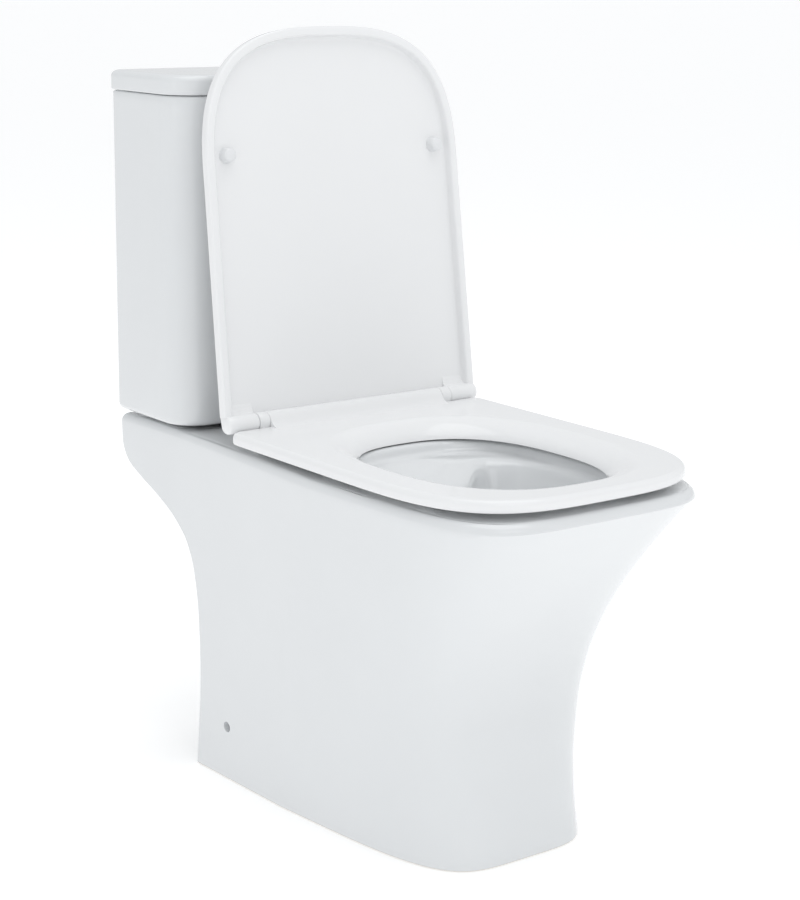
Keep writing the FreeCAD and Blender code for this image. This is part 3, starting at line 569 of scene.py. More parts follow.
def fixed(piece: bpy.types.Object) -> bpy.types.Object:
    """Turn a piece's modifiers into its mesh.

    Args:
        piece: The object with live modifiers.

    Returns:
        The same object, with none.
    """
    bpy.context.view_layer.update()
    graph = bpy.context.evaluated_depsgraph_get()
    made = bpy.data.meshes.new_from_object(piece.evaluated_get(graph))
    piece.modifiers.clear()
    piece.data = made
    return piece


def soften(piece: bpy.types.Object, width: float, segments: int = 3,
           angle: float = 35.0) -> bpy.types.Object:
    """Round a piece's sharp edges.

    Args:
        piece: The object.
        width: How wide each rounding is, in millimetres.
        segments: Faces across a rounding.
        angle: Edges that turn more than this are rounded, in degrees.

    Returns:
        The same object.
    """
    bevel = piece.modifiers.new("rounding", "BEVEL")
    bevel.width = width * METRE
    bevel.segments = segments
    bevel.limit_method = "ANGLE"
    bevel.angle_limit = math.radians(angle)
    bevel.use_clamp_overlap = True
    return fixed(piece)


def drill(piece: bpy.types.Object, holes: Shell) -> bpy.types.Object:
    """Cut holes out of a piece.

    Args:
        piece: The object.
        holes: The holes as closed shells that don't touch each other.

    Returns:
        The same object.
    """
    cutter = bpy.data.objects.new("cutter", holes.mesh("cutter"))
    bpy.context.scene.collection.objects.link(cutter)
    cut = piece.modifiers.new("holes", "BOOLEAN")
    cut.operation, cut.solver, cut.object = "DIFFERENCE", "MANIFOLD", cutter
    fixed(piece)
    bpy.data.objects.remove(cutter)
    return piece


def shaped(name: str, shell: Shell) -> bpy.types.Object:
    """A shell as an object at the origin, with no finish yet.

    Args:
        name: The object's name.
        shell: Its closed surfaces.

    Returns:
        The object.
    """
    piece = bpy.data.objects.new(name, shell.mesh(name))
    bpy.context.scene.collection.objects.link(piece)
    return piece


def dressed(piece: bpy.types.Object, finish: Finish, body: str, *stands_for: str,
            sharp: float = 38.0) -> bpy.types.Object:
    """Give a piece its finish, its smoothness and the body it rides on.

    Args:
        piece: The object, its mesh in place.
        finish: Its finish.
        body: The CAD body that it moves with.
        stands_for: The CAD nodes that it replaces.
        sharp: Edges that turn more than this stay sharp, in degrees.

    Returns:
        The same object.
    """
    piece.data.materials.clear()
    piece.data.materials.append(finish.material())
    piece.data.shade_smooth()
    piece.data.set_sharp_from_angle(angle=math.radians(sharp))
    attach(piece, body)
    if stands_for:
        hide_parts(*stands_for)
    LOG.info("%s: %d faces on %s", piece.name, len(piece.data.polygons), body)
    return piece


# ---- things that repeat -----------------------------------------------------------------------


@dataclass
class NodeTool:
    """A Geometry Nodes tree with named inputs that adds repeated forms to a piece."""

    name: str
    sizes: tuple[str, ...]

    def tree(self) -> bpy.types.NodeTree:
        """The tree, made once.

        Returns:
            The node tree, ending in Realize Instances and Set Material.
        """
        found = bpy.data.node_groups.get(self.name)
        if found:
            return found
        tree = bpy.data.node_groups.new(self.name, "GeometryNodeTree")
        face = tree.interface
        face.new_socket("Geometry", in_out="OUTPUT", socket_type="NodeSocketGeometry")
        face.new_socket("Geometry", in_out="INPUT", socket_type="NodeSocketGeometry")
        face.new_socket("Finish", in_out="INPUT", socket_type="NodeSocketMaterial")
        for size in self.sizes:
            face.new_socket(size, in_out="INPUT", socket_type="NodeSocketFloat")
        given = tree.nodes.new("NodeGroupInput")
        joined = tree.nodes.new("GeometryNodeJoinGeometry")
        real = tree.nodes.new("GeometryNodeRealizeInstances")
        paint = tree.nodes.new("GeometryNodeSetMaterial")
        result = tree.nodes.new("NodeGroupOutput")
        tree.links.new(given.outputs["Geometry"], joined.inputs["Geometry"])
        tree.links.new(self.repeat(tree, given), joined.inputs["Geometry"])
        tree.links.new(joined.outputs["Geometry"], real.inputs["Geometry"])
        tree.links.new(real.outputs["Geometry"], paint.inputs["Geometry"])
        tree.links.new(given.outputs["Finish"], paint.inputs["Material"])
        tree.links.new(paint.outputs["Geometry"], result.inputs["Geometry"])
        return tree

    def repeat(self, tree: bpy.types.NodeTree,
               given: bpy.types.Node) -> bpy.types.NodeSocket:
        """The repeated form; each tool has its own."""
        raise NotImplementedError

    def apply(self, piece: bpy.types.Object, finish: Finish,
              **values: float) -> bpy.types.Object:
        """Add the forms to a piece and turn the result into a plain mesh.

        Args:
            piece: The object that they are added to.
            finish: Their finish.
            values: The inputs, named as the sizes are.

        Returns:
            The same object, with no modifier.
        """
        tree = self.tree()
        modifier = piece.modifiers.new(self.name, "NODES")
        modifier.node_group = tree
        where = {item.name: item.identifier for item in tree.interface.items_tree
                 if item.in_out == "INPUT"}
        modifier[where["Finish"]] = finish.material()
        for size in self.sizes:
            modifier[where[size]] = float(values[size])
        return fixed(piece)


def combine(tree: bpy.types.NodeTree, *axes: bpy.types.NodeSocket | None) -> bpy.types.Node:
    """A node that makes a vector from up to three sockets.

    Args:
        tree: The tree that the node goes in.
        axes: The sockets for X, Y and Z, or None where the axis stays 0.

    Returns:
        The node.
    """
    node = tree.nodes.new("ShaderNodeCombineXYZ")
    for axis, socket in zip("XYZ", axes):
        if socket is not None:
            tree.links.new(socket, node.inputs[axis])
    return node


class ThreadTool(NodeTool):
    """A screw thread round each of two upright shanks, at x and at -x."""

    def repeat(self, tree: bpy.types.NodeTree,
               given: bpy.types.Node) -> bpy.types.NodeSocket:
        """A ridge that follows a helix, at both places.

        Args:
            tree: The tree being made.
            given: Its input node.

        Returns:
            The threads.
        """
        turns = tree.nodes.new("ShaderNodeMath")
        turns.operation = "DIVIDE"
        tree.links.new(given.outputs["length"], turns.inputs[0])
        tree.links.new(given.outputs["pitch"], turns.inputs[1])
        helix = tree.nodes.new("GeometryNodeCurveSpiral")
        helix.inputs["Resolution"].default_value = 18
        tree.links.new(turns.outputs[0], helix.inputs["Rotations"])
        for end in ("Start Radius", "End Radius"):
            tree.links.new(given.outputs["radius"], helix.inputs[end])
        tree.links.new(given.outputs["length"], helix.inputs["Height"])
        ridge = tree.nodes.new("GeometryNodeCurvePrimitiveCircle")
        ridge.inputs["Resolution"].default_value = 5
        tree.links.new(given.outputs["ridge"], ridge.inputs["Radius"])
        sweep = tree.nodes.new("GeometryNodeCurveToMesh")
        sweep.inputs["Fill Caps"].default_value = True
        tree.links.new(helix.outputs["Curve"], sweep.inputs["Curve"])
        tree.links.new(ridge.outputs["Curve"], sweep.inputs["Profile Curve"])
        flip = tree.nodes.new("ShaderNodeMath")
        flip.operation = "MULTIPLY"
        flip.inputs[1].default_value = -2.0
        tree.links.new(given.outputs["x"], flip.inputs[0])
        places = tree.nodes.new("GeometryNodeMeshLine")
        places.inputs["Count"].default_value = 2
        start = combine(tree, given.outputs["x"], given.outputs["y"], given.outputs["z"])
        tree.links.new(start.outputs["Vector"], places.inputs["Start Location"])
        tree.links.new(combine(tree, flip.outputs[0]).outputs["Vector"], places.inputs["Offset"])
        copies = tree.nodes.new("GeometryNodeInstanceOnPoints")
        tree.links.new(places.outputs["Mesh"], copies.inputs["Points"])
        tree.links.new(sweep.outputs["Mesh"], copies.inputs["Instance"])
        return copies.outputs["Instances"]


class RibTool(NodeTool):
    """Upright ribs that stand evenly round a circle."""

    def repeat(self, tree: bpy.types.NodeTree,
               given: bpy.types.Node) -> bpy.types.NodeSocket:
        """One rib at each point of the circle, turned outwards.

        Args:
            tree: The tree being made.
            given: Its input node.

        Returns:
            The ribs.
        """
        rib = tree.nodes.new("GeometryNodeMeshCube")
        size = combine(tree, given.outputs["depth"], given.outputs["width"],
                       given.outputs["height"])
        tree.links.new(size.outputs["Vector"], rib.inputs["Size"])
        round_count = tree.nodes.new("FunctionNodeFloatToInt")
        tree.links.new(given.outputs["count"], round_count.inputs[0])
        circle = tree.nodes.new("GeometryNodeMeshCircle")
        tree.links.new(round_count.outputs[0], circle.inputs["Vertices"])
        tree.links.new(given.outputs["radius"], circle.inputs["Radius"])
        position = tree.nodes.new("GeometryNodeInputPosition")
        face_out = tree.nodes.new("FunctionNodeAlignRotationToVector")
        face_out.axis = "X"
        tree.links.new(position.outputs[0], face_out.inputs["Vector"])
        copies = tree.nodes.new("GeometryNodeInstanceOnPoints")
        tree.links.new(circle.outputs["Mesh"], copies.inputs["Points"])
        tree.links.new(rib.outputs["Mesh"], copies.inputs["Instance"])
        tree.links.new(face_out.outputs[0], copies.inputs["Rotation"])
        move = tree.nodes.new("GeometryNodeTransform")
        place = combine(tree, given.outputs["x"], given.outputs["y"], given.outputs["z"])
        tree.links.new(copies.outputs["Instances"], move.inputs["Geometry"])
        tree.links.new(place.outputs["Vector"], move.inputs["Translation"])
        return move.outputs["Geometry"]


THREAD = ThreadTool("screw_thread", ("radius", "ridge", "pitch", "length", "x", "y", "z"))
RIBS = RibTool("upright_ribs", ("count", "radius", "depth", "width", "height", "x", "y", "z"))


# ---- pan --------------------------------------------------------------------------------------


@dataclass
class Pan:
    """The floor standing pan: skirt, rim, bowl, trap and soil outlet."""

    rim_z: float = RIM_Z
    crest_z: float = 392.0
    deck_thickness: float = 18.0
    wall: float = 12.0
    back_y: float = BACK_Y
    back_inset: float = 2.0
    front: tuple = ((0, -220), (50, -210), (100, -204), (150, -203), (200, -210), (240, -224),
                    (280, -245), (320, -272), (350, -295), (372, -313), (392, -330))
    back: tuple = ((0, 214), (50, 208), (100, 201), (150, 197), (200, 195), (240, 198),
                   (270, 208), (295, 231), (315, 263), (332, 297), (345, 318), (356, 326),
                   (368, 329.5), (380, 330), (392, 330))
    half_width: tuple = (135.5, 175.0)
    taper: tuple = (0.177, 0.076)
    bend_y: tuple = (43.5, -61.0)
    power: tuple = (4.6, 5.3)
    side_slope: tuple = (0.028, -0.051)
    flare: float = 14.8
    flare_start: float = 156.0
    growth: float = 1.75
    corner_r: tuple = (3.0, 9.0)
    foot_r: float = 2.0
    # height where the rear corners start to grow, and over how much height they do
    corner_growth: tuple = (330.0, 60.0)
    foot_levels: tuple = (0.0, 0.6, 2.0)
    # lowest, highest and number of the levels above the foot
    level_runs: tuple = ((10, 240, 22), (247, 386, 38))
    side_points: int = 90
    half_columns: int = 68
    back_columns: int = 18
    bowl_middle: float = -140.0
    # height, back, front, half width, squareness, drop and growth of the outer skin
    bowl: tuple = ((402, 6, -285, 121, 3.0, 18, 12), (400.4, 2, -281, 117, 3.0, 16.9, 12),
                   (397.5, 0, -279, 115, 3.0, 14, 10), (394, -1.5, -278, 114, 3.0, 11, 9),
                   (392, -4, -277.5, 113.4, 3.0, 10, 9), (390.6, -10, -277, 112.6, 3.0, 9, 9),
                   (389.4, -20, -276, 111.6, 3.0, 8, 9), (388, -30, -275, 110.4, 3.0, 8, 9),
                   (386, -37, -274, 109, 3.0, 8, 9), (383.5, -41, -273, 107.6, 2.95, 8, 9),
                   (380, -43.5, -272, 106.5, 2.95, 8, 9), (374, -46, -270, 105, 2.9, 7, 9),
                   (362, -49, -265.5, 101, 2.85, 6, 9), (345, -52, -257, 95, 2.75, 5, 9),
                   (320, -55, -244, 88, 2.6, 4, 9), (270, -58, -218, 74, 2.4, 3, 9),
                   (232, -59, -193, 63, 2.2, 2, 9), (197, -60, -150, 45, 2.0, 0, 8))
    # how far the back of the bowl spills forwards and down in the middle, by bowl height
    spill: tuple = ((197, 0, 0), (232, 5, 0), (270, 18, 1), (320, 38, 4), (345, 45, 7),
                    (362, 48, 9), (374, 50, 10), (380, 52, 9), (383.5, 50, 7.5), (386, 42, 6),
                    (388, 30, 4), (390.6, 9, 1), (392, 0, 0), (402, 0, 0))
    spill_half_width: float = 80.0
    spill_round: float = 36.0
    spill_fall: float = 1.4
    bowl_rows: int = 46
    elbow_centre: tuple = (-60.0, 197.0)
    elbow_r: float = 45.0
    elbow_points: int = 8
    elbow_mouth_r: float = 43.5
    trap_corners: tuple = ((-60, 152), (8, 152), (92, 238), (150, 238), (206, 190), (320, 190))
    trap_bore: float = 27.0
    trap_wall: float = 8.0
    outlet_bore: float = 43.0
    outlet_taper: tuple = (204.0, 240.0)
    outlet_steps: tuple = (222, 230, 238, 244, 280, 317, 319.4, 320)
    # radius, place along Y and height
    side_hole: tuple = (6.25, 147.0, 64.0)
    side_hole_x: float = 130.0
    side_hole_length: float = 60.0
    coupling_hole_r: float = 5.5
    seat_hole_r: float = 7.0
    supply_hole_r: float = 20.0
    flush_recess_r: float = 52.5
    flush_recess: float = 16.0
    # bore and outside of the cup under the deck, and of the duct to the bowl
    cup_r: tuple = (35.0, 44.0)
    flange_r: float = 58.5
    duct_r: tuple = (19.0, 26.0)
    duct_ends: tuple = (-52.0, 232.0)
    duct_z: float = 352.0

    def profile(self, pairs: tuple, z: float) -> float:
        """A (z, y) profile read at z."""
        keys, values = zip(*pairs)
        return float(flow(keys, values, np.array([min(z, keys[-1])]))[0])

    def half(self, z: float, inset: float, corner: float) -> np.ndarray:
        """Right hand half of the outline at height z, from the back to the front.

        Args:
            z: The height.
            inset: How far it is moved inwards.
            corner: Radius of the back corner.

        Returns:
            Rows of x and y.
        """
        share = (min(z, self.crest_z) / self.crest_z) ** self.growth
        width, bend = mix(*self.half_width, share), mix(*self.bend_y, share)
        back, front = self.profile(self.back, z), self.profile(self.front, z)
        y = np.linspace(back - corner, bend, self.side_points)
        beyond = np.maximum(0.0, (y - self.flare_start) / (self.back_y - self.flare_start))
        x = (width + mix(*self.side_slope, share) * (y - bend)
             + self.flare * share * beyond ** 2)
        forward, wide = quarter(mix(*self.power, share))
        nose = np.column_stack((width * (1 - mix(*self.taper, share) * forward) * wide,
                                bend - (bend - front) * forward))
        corner_arc = arc((x[0] - corner, back - corner), corner, 90, 0, 9)
        curve = np.vstack((corner_arc[:-1], np.column_stack((x, y)), nose[1:]))
        return spread(inward(curve, inset) if inset else curve, self.half_columns)

    def loop(self, z: float, inset: float, corner: float, back_inset: float = 0.0,
             at: float | None = None) -> np.ndarray:
        """The whole outline at height z as a closed loop, lifted to at if that is given.

        Args:
            z: The height that the outline is read at.
            inset: How far it is moved inwards.
            corner: Radius of the back corners.
            back_inset: How far it stays in front of the rear face.
            at: The height that it is lifted to, or None for z.

        Returns:
            Rows of x, y and z.
        """
        right = self.half(z, inset, corner)
        right[:, 1] = np.minimum(right[:, 1], self.back_y - back_inset)
        left = right[-2::-1] * (-1, 1)
        share = np.linspace(0, 1, self.back_columns + 2)[1:-1, None]
        rear = left[-1] * (1 - share) + right[0] * share
        return level(np.vstack((right, left, rear)), z if at is None else at)

    def spilled(self, loop: np.ndarray, height: float) -> np.ndarray:
        """A bowl loop with its back drawn forwards and down in the middle.

        Args:
            loop: Rows of x, y and z.
            height: The height that the loop belongs to.

        Returns:
            The moved rows.
        """
        keys, forward, down = zip(*self.spill)
        dy = float(flow(keys, forward, np.array([height]))[0])
        dz = float(flow(keys, down, np.array([height]))[0])
        beside = np.hypot(loop[:, 0], self.spill_round) - self.spill_round
        reach = self.spill_half_width - self.spill_round
        near = np.clip(1 - beside / reach, 0, 1) ** self.spill_fall
        middle = (loop[:, 1].max() + loop[:, 1].min()) / 2
        near = near * np.clip((loop[:, 1] - middle) / (loop[:, 1].max() - middle), 0, 1)
        return loop - near[:, None] * np.array((0.0, dy, dz))

    def bowl_loops(self, angle: np.ndarray) -> tuple[list[np.ndarray], list[np.ndarray]]:
        """Loops down the bowl, on its glazed side and on its outer skin.

        Args:
            angle: Direction of each column from the bowl's middle.

        Returns:
            The glazed loops and the outer loops.
        """
        table = np.array(self.bowl, float)
        run = np.abs(np.diff(table[:, 0])) + 0.6 * np.abs(np.diff(table[:, 1])) + 1.0
        where = np.concatenate(([0.0], np.cumsum(np.sqrt(run))))
        at = np.linspace(0, where[-1], self.bowl_rows)
        wet, dry = [], []
        for z, back, front, width, power, drop, grow in np.column_stack(
                [flow(where, table[:, k], at) for k in range(7)]):
            loop = level(oval(angle, back, front, width, power), z)
            skin = level(oval(angle, back + grow, front - grow, width + grow, power), z - drop)
            wet.append(self.spilled(loop, z))
            dry.append(self.spilled(skin, z))
        return wet, dry

    def trap_line(self) -> tuple[np.ndarray, np.ndarray]:
        """Points (y, z) of the trap's centre line and its bore's radius at each.

        Returns:
            The points, and the radii.
        """
        corners = [np.array(c, float) for c in self.trap_corners]
        line = [arc(self.elbow_centre, self.elbow_r, 180, 270, self.elbow_points + 1)[1:]]
        for before, corner, after in zip(corners, corners[1:], corners[2:]):
            into = (corner - before) / np.linalg.norm(corner - before)
            out = (after - corner) / np.linalg.norm(after - corner)
            turn = math.acos(float(np.clip(into @ out, -1, 1)))
            cut = 0.45 * min(np.linalg.norm(corner - before), np.linalg.norm(after - corner))
            radius = cut / math.tan(turn / 2)
            side = 1 if into[0] * out[1] - into[1] * out[0] > 0 else -1
            centre = corner - into * cut + side * radius * np.array((-into[1], into[0]))
            start = math.degrees(math.atan2(*(corner - into * cut - centre)[::-1]))
            line.append(arc(tuple(centre), radius, start, start + side * math.degrees(turn), 8))
        line.append(np.array([(y, corners[-1][1]) for y in self.outlet_steps], float))
        points = np.vstack(line)
        radii = np.full(len(points), self.trap_bore)
        radii[:self.elbow_points] = np.linspace(self.elbow_mouth_r, self.trap_bore,
                                                self.elbow_points)
        widened = np.interp(points[:, 0], self.outlet_taper, (self.trap_bore, self.outlet_bore))
        radii = np.where(points[:, 0] > self.outlet_taper[0], widened, radii)
        return points, radii

    def trap_loops(self, angle: np.ndarray) -> tuple[list[np.ndarray], list[np.ndarray]]:
        """Loops along the trap, in its bore and on its outside.

        Args:
            angle: Direction of each column round the bore.

        Returns:
            The loops in the bore and the loops outside.
        """
        points, radii = self.trap_line()
        run = np.gradient(points, axis=0)
        run /= np.linalg.norm(run, axis=1)[:, None]
        wet, dry = [], []
        for i, ((y, z), (ty, tz), bore) in enumerate(zip(points, run, radii)):
            last = {len(points) - 1: 1.2, len(points) - 2: 0.3}.get(i, 0.0)
            for loops, radius in ((wet, bore + last), (dry, bore + self.trap_wall - last)):
                up = radius * np.sin(angle)
                loops.append(np.column_stack((radius * np.cos(angle), y - up * tz, z + up * ty)))
        return wet, dry

    def body(self) -> bpy.types.Object:
        """The pan's china as one closed wall.

        Returns:
            The object, with its holes.
        """
        levels = np.concatenate((self.foot_levels,
                                 *(np.linspace(*run) for run in self.level_runs)))
        insets = np.concatenate(([self.foot_r, self.foot_r * 0.3], np.zeros(len(levels) - 2)))
        under = self.rim_z - self.deck_thickness
        grow_from, grow_over = self.corner_growth
        outer, inner = [], []
        for z, inset in zip(levels, insets):
            share = max(0.0, (z - grow_from) / grow_over)
            outer.append(self.loop(z, inset, mix(*self.corner_r, share)))
            inner.append(self.loop(z * under / levels[-1], self.wall, corner=0.1,
                                   back_inset=self.back_inset))
        skirt_rows = len(outer)
        radius = self.rim_z - self.crest_z
        for angle in np.radians(np.linspace(0, 90, 9)):
            outer.append(self.loop(self.crest_z, radius * (1 - math.cos(angle)) + 1e-4,
                                   self.corner_r[1], at=self.crest_z + radius * math.sin(angle)))
        rim, skirt_top = outer[-1], inner[-1]
        angle = np.arctan2(rim[:, 1] - self.bowl_middle, rim[:, 0])
        wet, dry = self.bowl_loops(angle)
        deck_rows = 7
        outer += [rim + (wet[0] - rim) * i / deck_rows for i in range(1, deck_rows)]
        steps = len(outer) - skirt_rows + 1
        inner += [skirt_top + (dry[0] - skirt_top) * i / steps for i in range(1, steps)]
        trap_wet, trap_dry = self.trap_loops(angle)
        outer, inner = np.array(outer + wet + trap_wet), np.array(inner + dry + trap_dry)
        keep = np.ones(outer.shape[:2], bool)
        keep[:skirt_rows - 1, 2 * self.half_columns - 2:] = False
        piece = shaped("pan_china", Shell().walled(outer, inner, True, keep))
        return drill(piece, self.holes())

    def holes(self) -> Shell:
        """The side fixing holes and the holes through the deck.

        Returns:
            The holes as closed shells.
        """
        radius, y, z = self.side_hole
        length = self.side_hole_length
        top, deep = self.rim_z + 5, self.rim_z - self.deck_thickness - 6
        holes = Shell()
        for side in SIDES:
            holes.turned([(0, 0), (radius, 0), (radius, length), (0, length)],
                         (side * self.side_hole_x - length / 2, y, z), Axis.X)
            for hole_r, x, hole_y in ((self.coupling_hole_r, COUPLING_X, VALVE_Y),
                                      (self.seat_hole_r, SEAT_BOLT_X, SEAT_BOLT_Y)):
                holes.turned([(0, deep), (hole_r, deep), (hole_r, top), (0, top)],
                             (side * x, hole_y, 0), count=24)
        supply, bore, wide = self.supply_hole_r, self.cup_r[0], self.flush_recess_r
        holes.turned([(0, deep), (supply, deep), (supply, top), (0, top)], (*FILL_VALVE, 0))
        recess = self.rim_z - self.flush_recess
        holes.turned([(0, deep), (bore, deep), (bore, recess), (wide, recess), (wide, top),
                      (0, top)], (0, VALVE_Y, 0))
        return holes

    def inlet(self) -> bpy.types.Object:
        """The cup under the deck that takes the flush, and its duct to the bowl.

        Returns:
            The object.
        """
        low, shoulder, deck = 322.0, 364.0, 385.0
        (bore, cup), flange = self.cup_r, self.flange_r
        shell = Shell().turned([(0, low + 10), (bore, low + 10), (bore, deck), (flange, deck),
                                (flange, shoulder + 2), (flange - 2, shoulder), (cup, shoulder),
                                (cup, low + 3), (cup - 3, low), (0, low)], (0, VALVE_Y, 0))
        (bore, pipe), (start, end) = self.duct_r, self.duct_ends
        shell.turned([(bore, start), (pipe, start), (pipe, end), (bore, end)],
                     (0, 0, self.duct_z), Axis.Y, ring=True)
        return shaped("pan_flush_inlet", shell)

    def dress(self) -> None:
        """Build the pan's pieces and dress them."""
        dressed(self.body(), WHITE_GLAZE, "pan_body", "pan", "pan_skirt", "pan_heels",
                "pan_bowl", "pan_trap")
        dressed(self.inlet(), WHITE_GLAZE, "pan_body", "pan_flush_duct")


# ---- cistern ----------------------------------------------------------------------------------


@dataclass
class Cistern:
    """The tank and its cover."""

    half_width: float = 172.0
    front: float = 185.0
    back: float = BACK_Y
    bottom: float = 407.0
    top: float = 771.5
    wall: float = 9.0
    floor: float = 10.0
    front_r: float = 38.0
    back_r: float = 10.0
    bottom_r: float = 8.5
    side_low: float = 440.0
    # radius and place of each hole in the floor
    floor_holes: tuple = ((31.5, 0.0, VALVE_Y), (11.5, *FILL_VALVE),
                          (5.0, COUPLING_X, VALVE_Y), (5.0, -COUPLING_X, VALVE_Y))
    # radius, distance from the middle and height of the two holes in the back
    wall_hole: tuple = (4.0, 100.0, 700.0)
    cover_top: float = COVER_TOP
    overhang: float = 1.5
    plate: float = 10.0
    cover_r: float = 7.0
    cover_play: float = 1.5
    tab_x: float = 120.0
    tab_half: float = 15.0
    tab_thick: float = 4.0
    button_hole_r: float = 23.8

    def ring(self, inset: float, z: float) -> np.ndarray:
        """The tank's outline moved inwards by inset, at height z.

        Args:
            inset: How far it is moved inwards.
            z: The height.

        Returns:
            Rows of x, y and z.
        """
        flat = rounded_rectangle(self.half_width, self.front, self.back, self.front_r,
                                 self.back_r)
        scale_x = (self.half_width - inset) / self.half_width
        middle = (self.front + self.back) / 2
        scale_y = (self.back - self.front - 2 * inset) / (self.back - self.front)
        return level((flat - (0, middle)) * (scale_x, scale_y) + (0, middle), z)

    def tank(self) -> bpy.types.Object:
        """The tank with rounded lower edges and its holes.

        Returns:
            The object.
        """
        r, lip = self.bottom_r, 2.6
        rows = [self.ring(r * (1 - math.sin(a)), self.bottom + r * (1 - math.cos(a)))
                for a in np.radians(np.linspace(0, 90, 7))]
        rows += [self.ring(0, z) for z in np.linspace(self.side_low, self.top - 12, 8)]
        rows += [self.ring(lip * (1 - math.cos(a)), self.top - lip + lip * math.sin(a))
                 for a in np.radians(np.linspace(0, 90, 5))]
        rows += [self.ring(self.wall - lip + lip * math.sin(a),
                           self.top - lip + lip * math.cos(a))
                 for a in np.radians(np.linspace(0, 90, 5))]
        inner_r = 8.0
        floor = self.bottom + self.floor
        rows += [self.ring(self.wall, z) for z in np.linspace(self.top - 20, floor + 20, 5)]
        rows += [self.ring(self.wall + inner_r * (1 - math.cos(a)),
                           floor + inner_r * (1 - math.sin(a)))
                 for a in np.radians(np.linspace(0, 90, 5))]
        holes = Shell()
        low, high = self.bottom - 4, floor + 4
        for radius, x, y in self.floor_holes:
            holes.turned([(0, low), (radius, low), (radius, high), (0, high)], (x, y, 0))
        radius, x, z = self.wall_hole
        for side in SIDES:
            holes.turned([(0, -14), (radius, -14), (radius, 4), (0, 4)],
                         (side * x, self.back, z), Axis.Y)
        return drill(shaped("cistern_tank", Shell().loops(rows)), holes)

    def cover(self) -> bpy.types.Object:
        """The cover: a plate with a skirt, locating tabs and the push button's hole.

        Returns:
            The object.
        """
        base, r, lip = self.top + 0.8, self.cover_r, 1.8
        out = -self.overhang
        rows = [self.ring(out + lip * (1 - math.sin(a)), base + lip * (1 - math.cos(a)))
                for a in np.radians(np.linspace(0, 90, 4))]
        rows += [self.ring(out, base + 6), self.ring(out, base + 11)]
        rows += [self.ring(out + r * (1 - math.cos(a)), self.cover_top - r + r * math.sin(a))
                 for a in np.radians(np.linspace(0, 90, 10))]
        rows += [self.ring(r + inset, self.cover_top) for inset in (1.0, 12.0)]
        under = self.cover_top - self.plate
        inside, well_r = self.wall + self.cover_play, 4
        well = [self.ring(inside + well_r * (1 - math.cos(a)),
                          under - well_r + well_r * math.sin(a))
                for a in np.radians(np.linspace(0, 90, 4))]
        rim = [self.ring(inside, base), self.ring(inside, base + 2)]
        # the hollow is on the far side of the skirt, so the surface starts in its middle
        shell = Shell().loops(well[::-1] + rim[::-1] + rows)
        for row in shell.points:
            row[:, 1] = np.minimum(row[:, 1], self.back)
        half = self.tab_half
        for x in (-self.tab_x, self.tab_x):
            for y in (self.front + self.wall + 1.0, self.back - self.wall - 5.0):
                shell.block((x - half, y, base - 10), (x + half, y + self.tab_thick, under + 2))
        radius, low, high = self.button_hole_r, base - 2, self.cover_top + 6
        hole = Shell().turned([(0, low), (radius, low), (radius, high), (0, high)],
                              (0, BUTTON_Y, 0))
        return drill(shaped("cistern_cover", shell), hole)

    def dress(self) -> None:
        """Build the tank and its cover and dress them."""
        dressed(self.tank(), WHITE_GLAZE, "pan_body", "cistern")
        dressed(self.cover(), WHITE_GLAZE, "cistern_lid_body", "cistern_lid")


# ---- seat -------------------------------------------------------------------------------------


@dataclass
class Hinge:
    """Where the seat's hinge line is, and its posts."""

    y: float = 97.0
    z: float = 428.0
    barrel_r: float = 10.0
    barrel_half: float = 118.0
    post_half: float = 131.0
    post_behind: float = 9.4
    post_before: float = 6.0
    plate_inner: float = 66.0
    plate_before: float = 11.0
    plate_behind: float = 12.0
    plate_thickness: float = 4.5
    gap: float = 0.35
    deck_z: float = RIM_Z

    def posts(self) -> bpy.types.Object:
        """The two posts, each with its foot plate on the deck.

        Returns:
            The object.
        """
        shell = Shell()
        head = arc((self.y, self.z), self.barrel_r, 200, -20, 25)
        rear, fore = self.y + self.post_behind, self.y - self.post_before
        column = np.vstack((head, [(rear, self.deck_z + 6), (rear, self.deck_z),
                                   (fore, self.deck_z), (fore, self.deck_z + 8)]))
        for side in SIDES:
            x0, x1 = side * (self.barrel_half + self.gap), side * self.post_half
            shell.prism(column, min(x0, x1), max(x0, x1), Axis.X)
            ends = sorted((side * self.plate_inner, side * (self.post_half - 0.6)))
            shell.block((ends[0], SEAT_BOLT_Y - self.plate_before, self.deck_z),
                        (ends[1], SEAT_BOLT_Y + self.plate_behind,
                         self.deck_z + self.plate_thickness))
        return soften(shaped("hinge_post_pair", shell), 0.8)

    def dress(self) -> None:
        """Build the posts and dress them."""
        dressed(self.posts(), HINGE_WHITE, "pan_body", "hinge_posts")


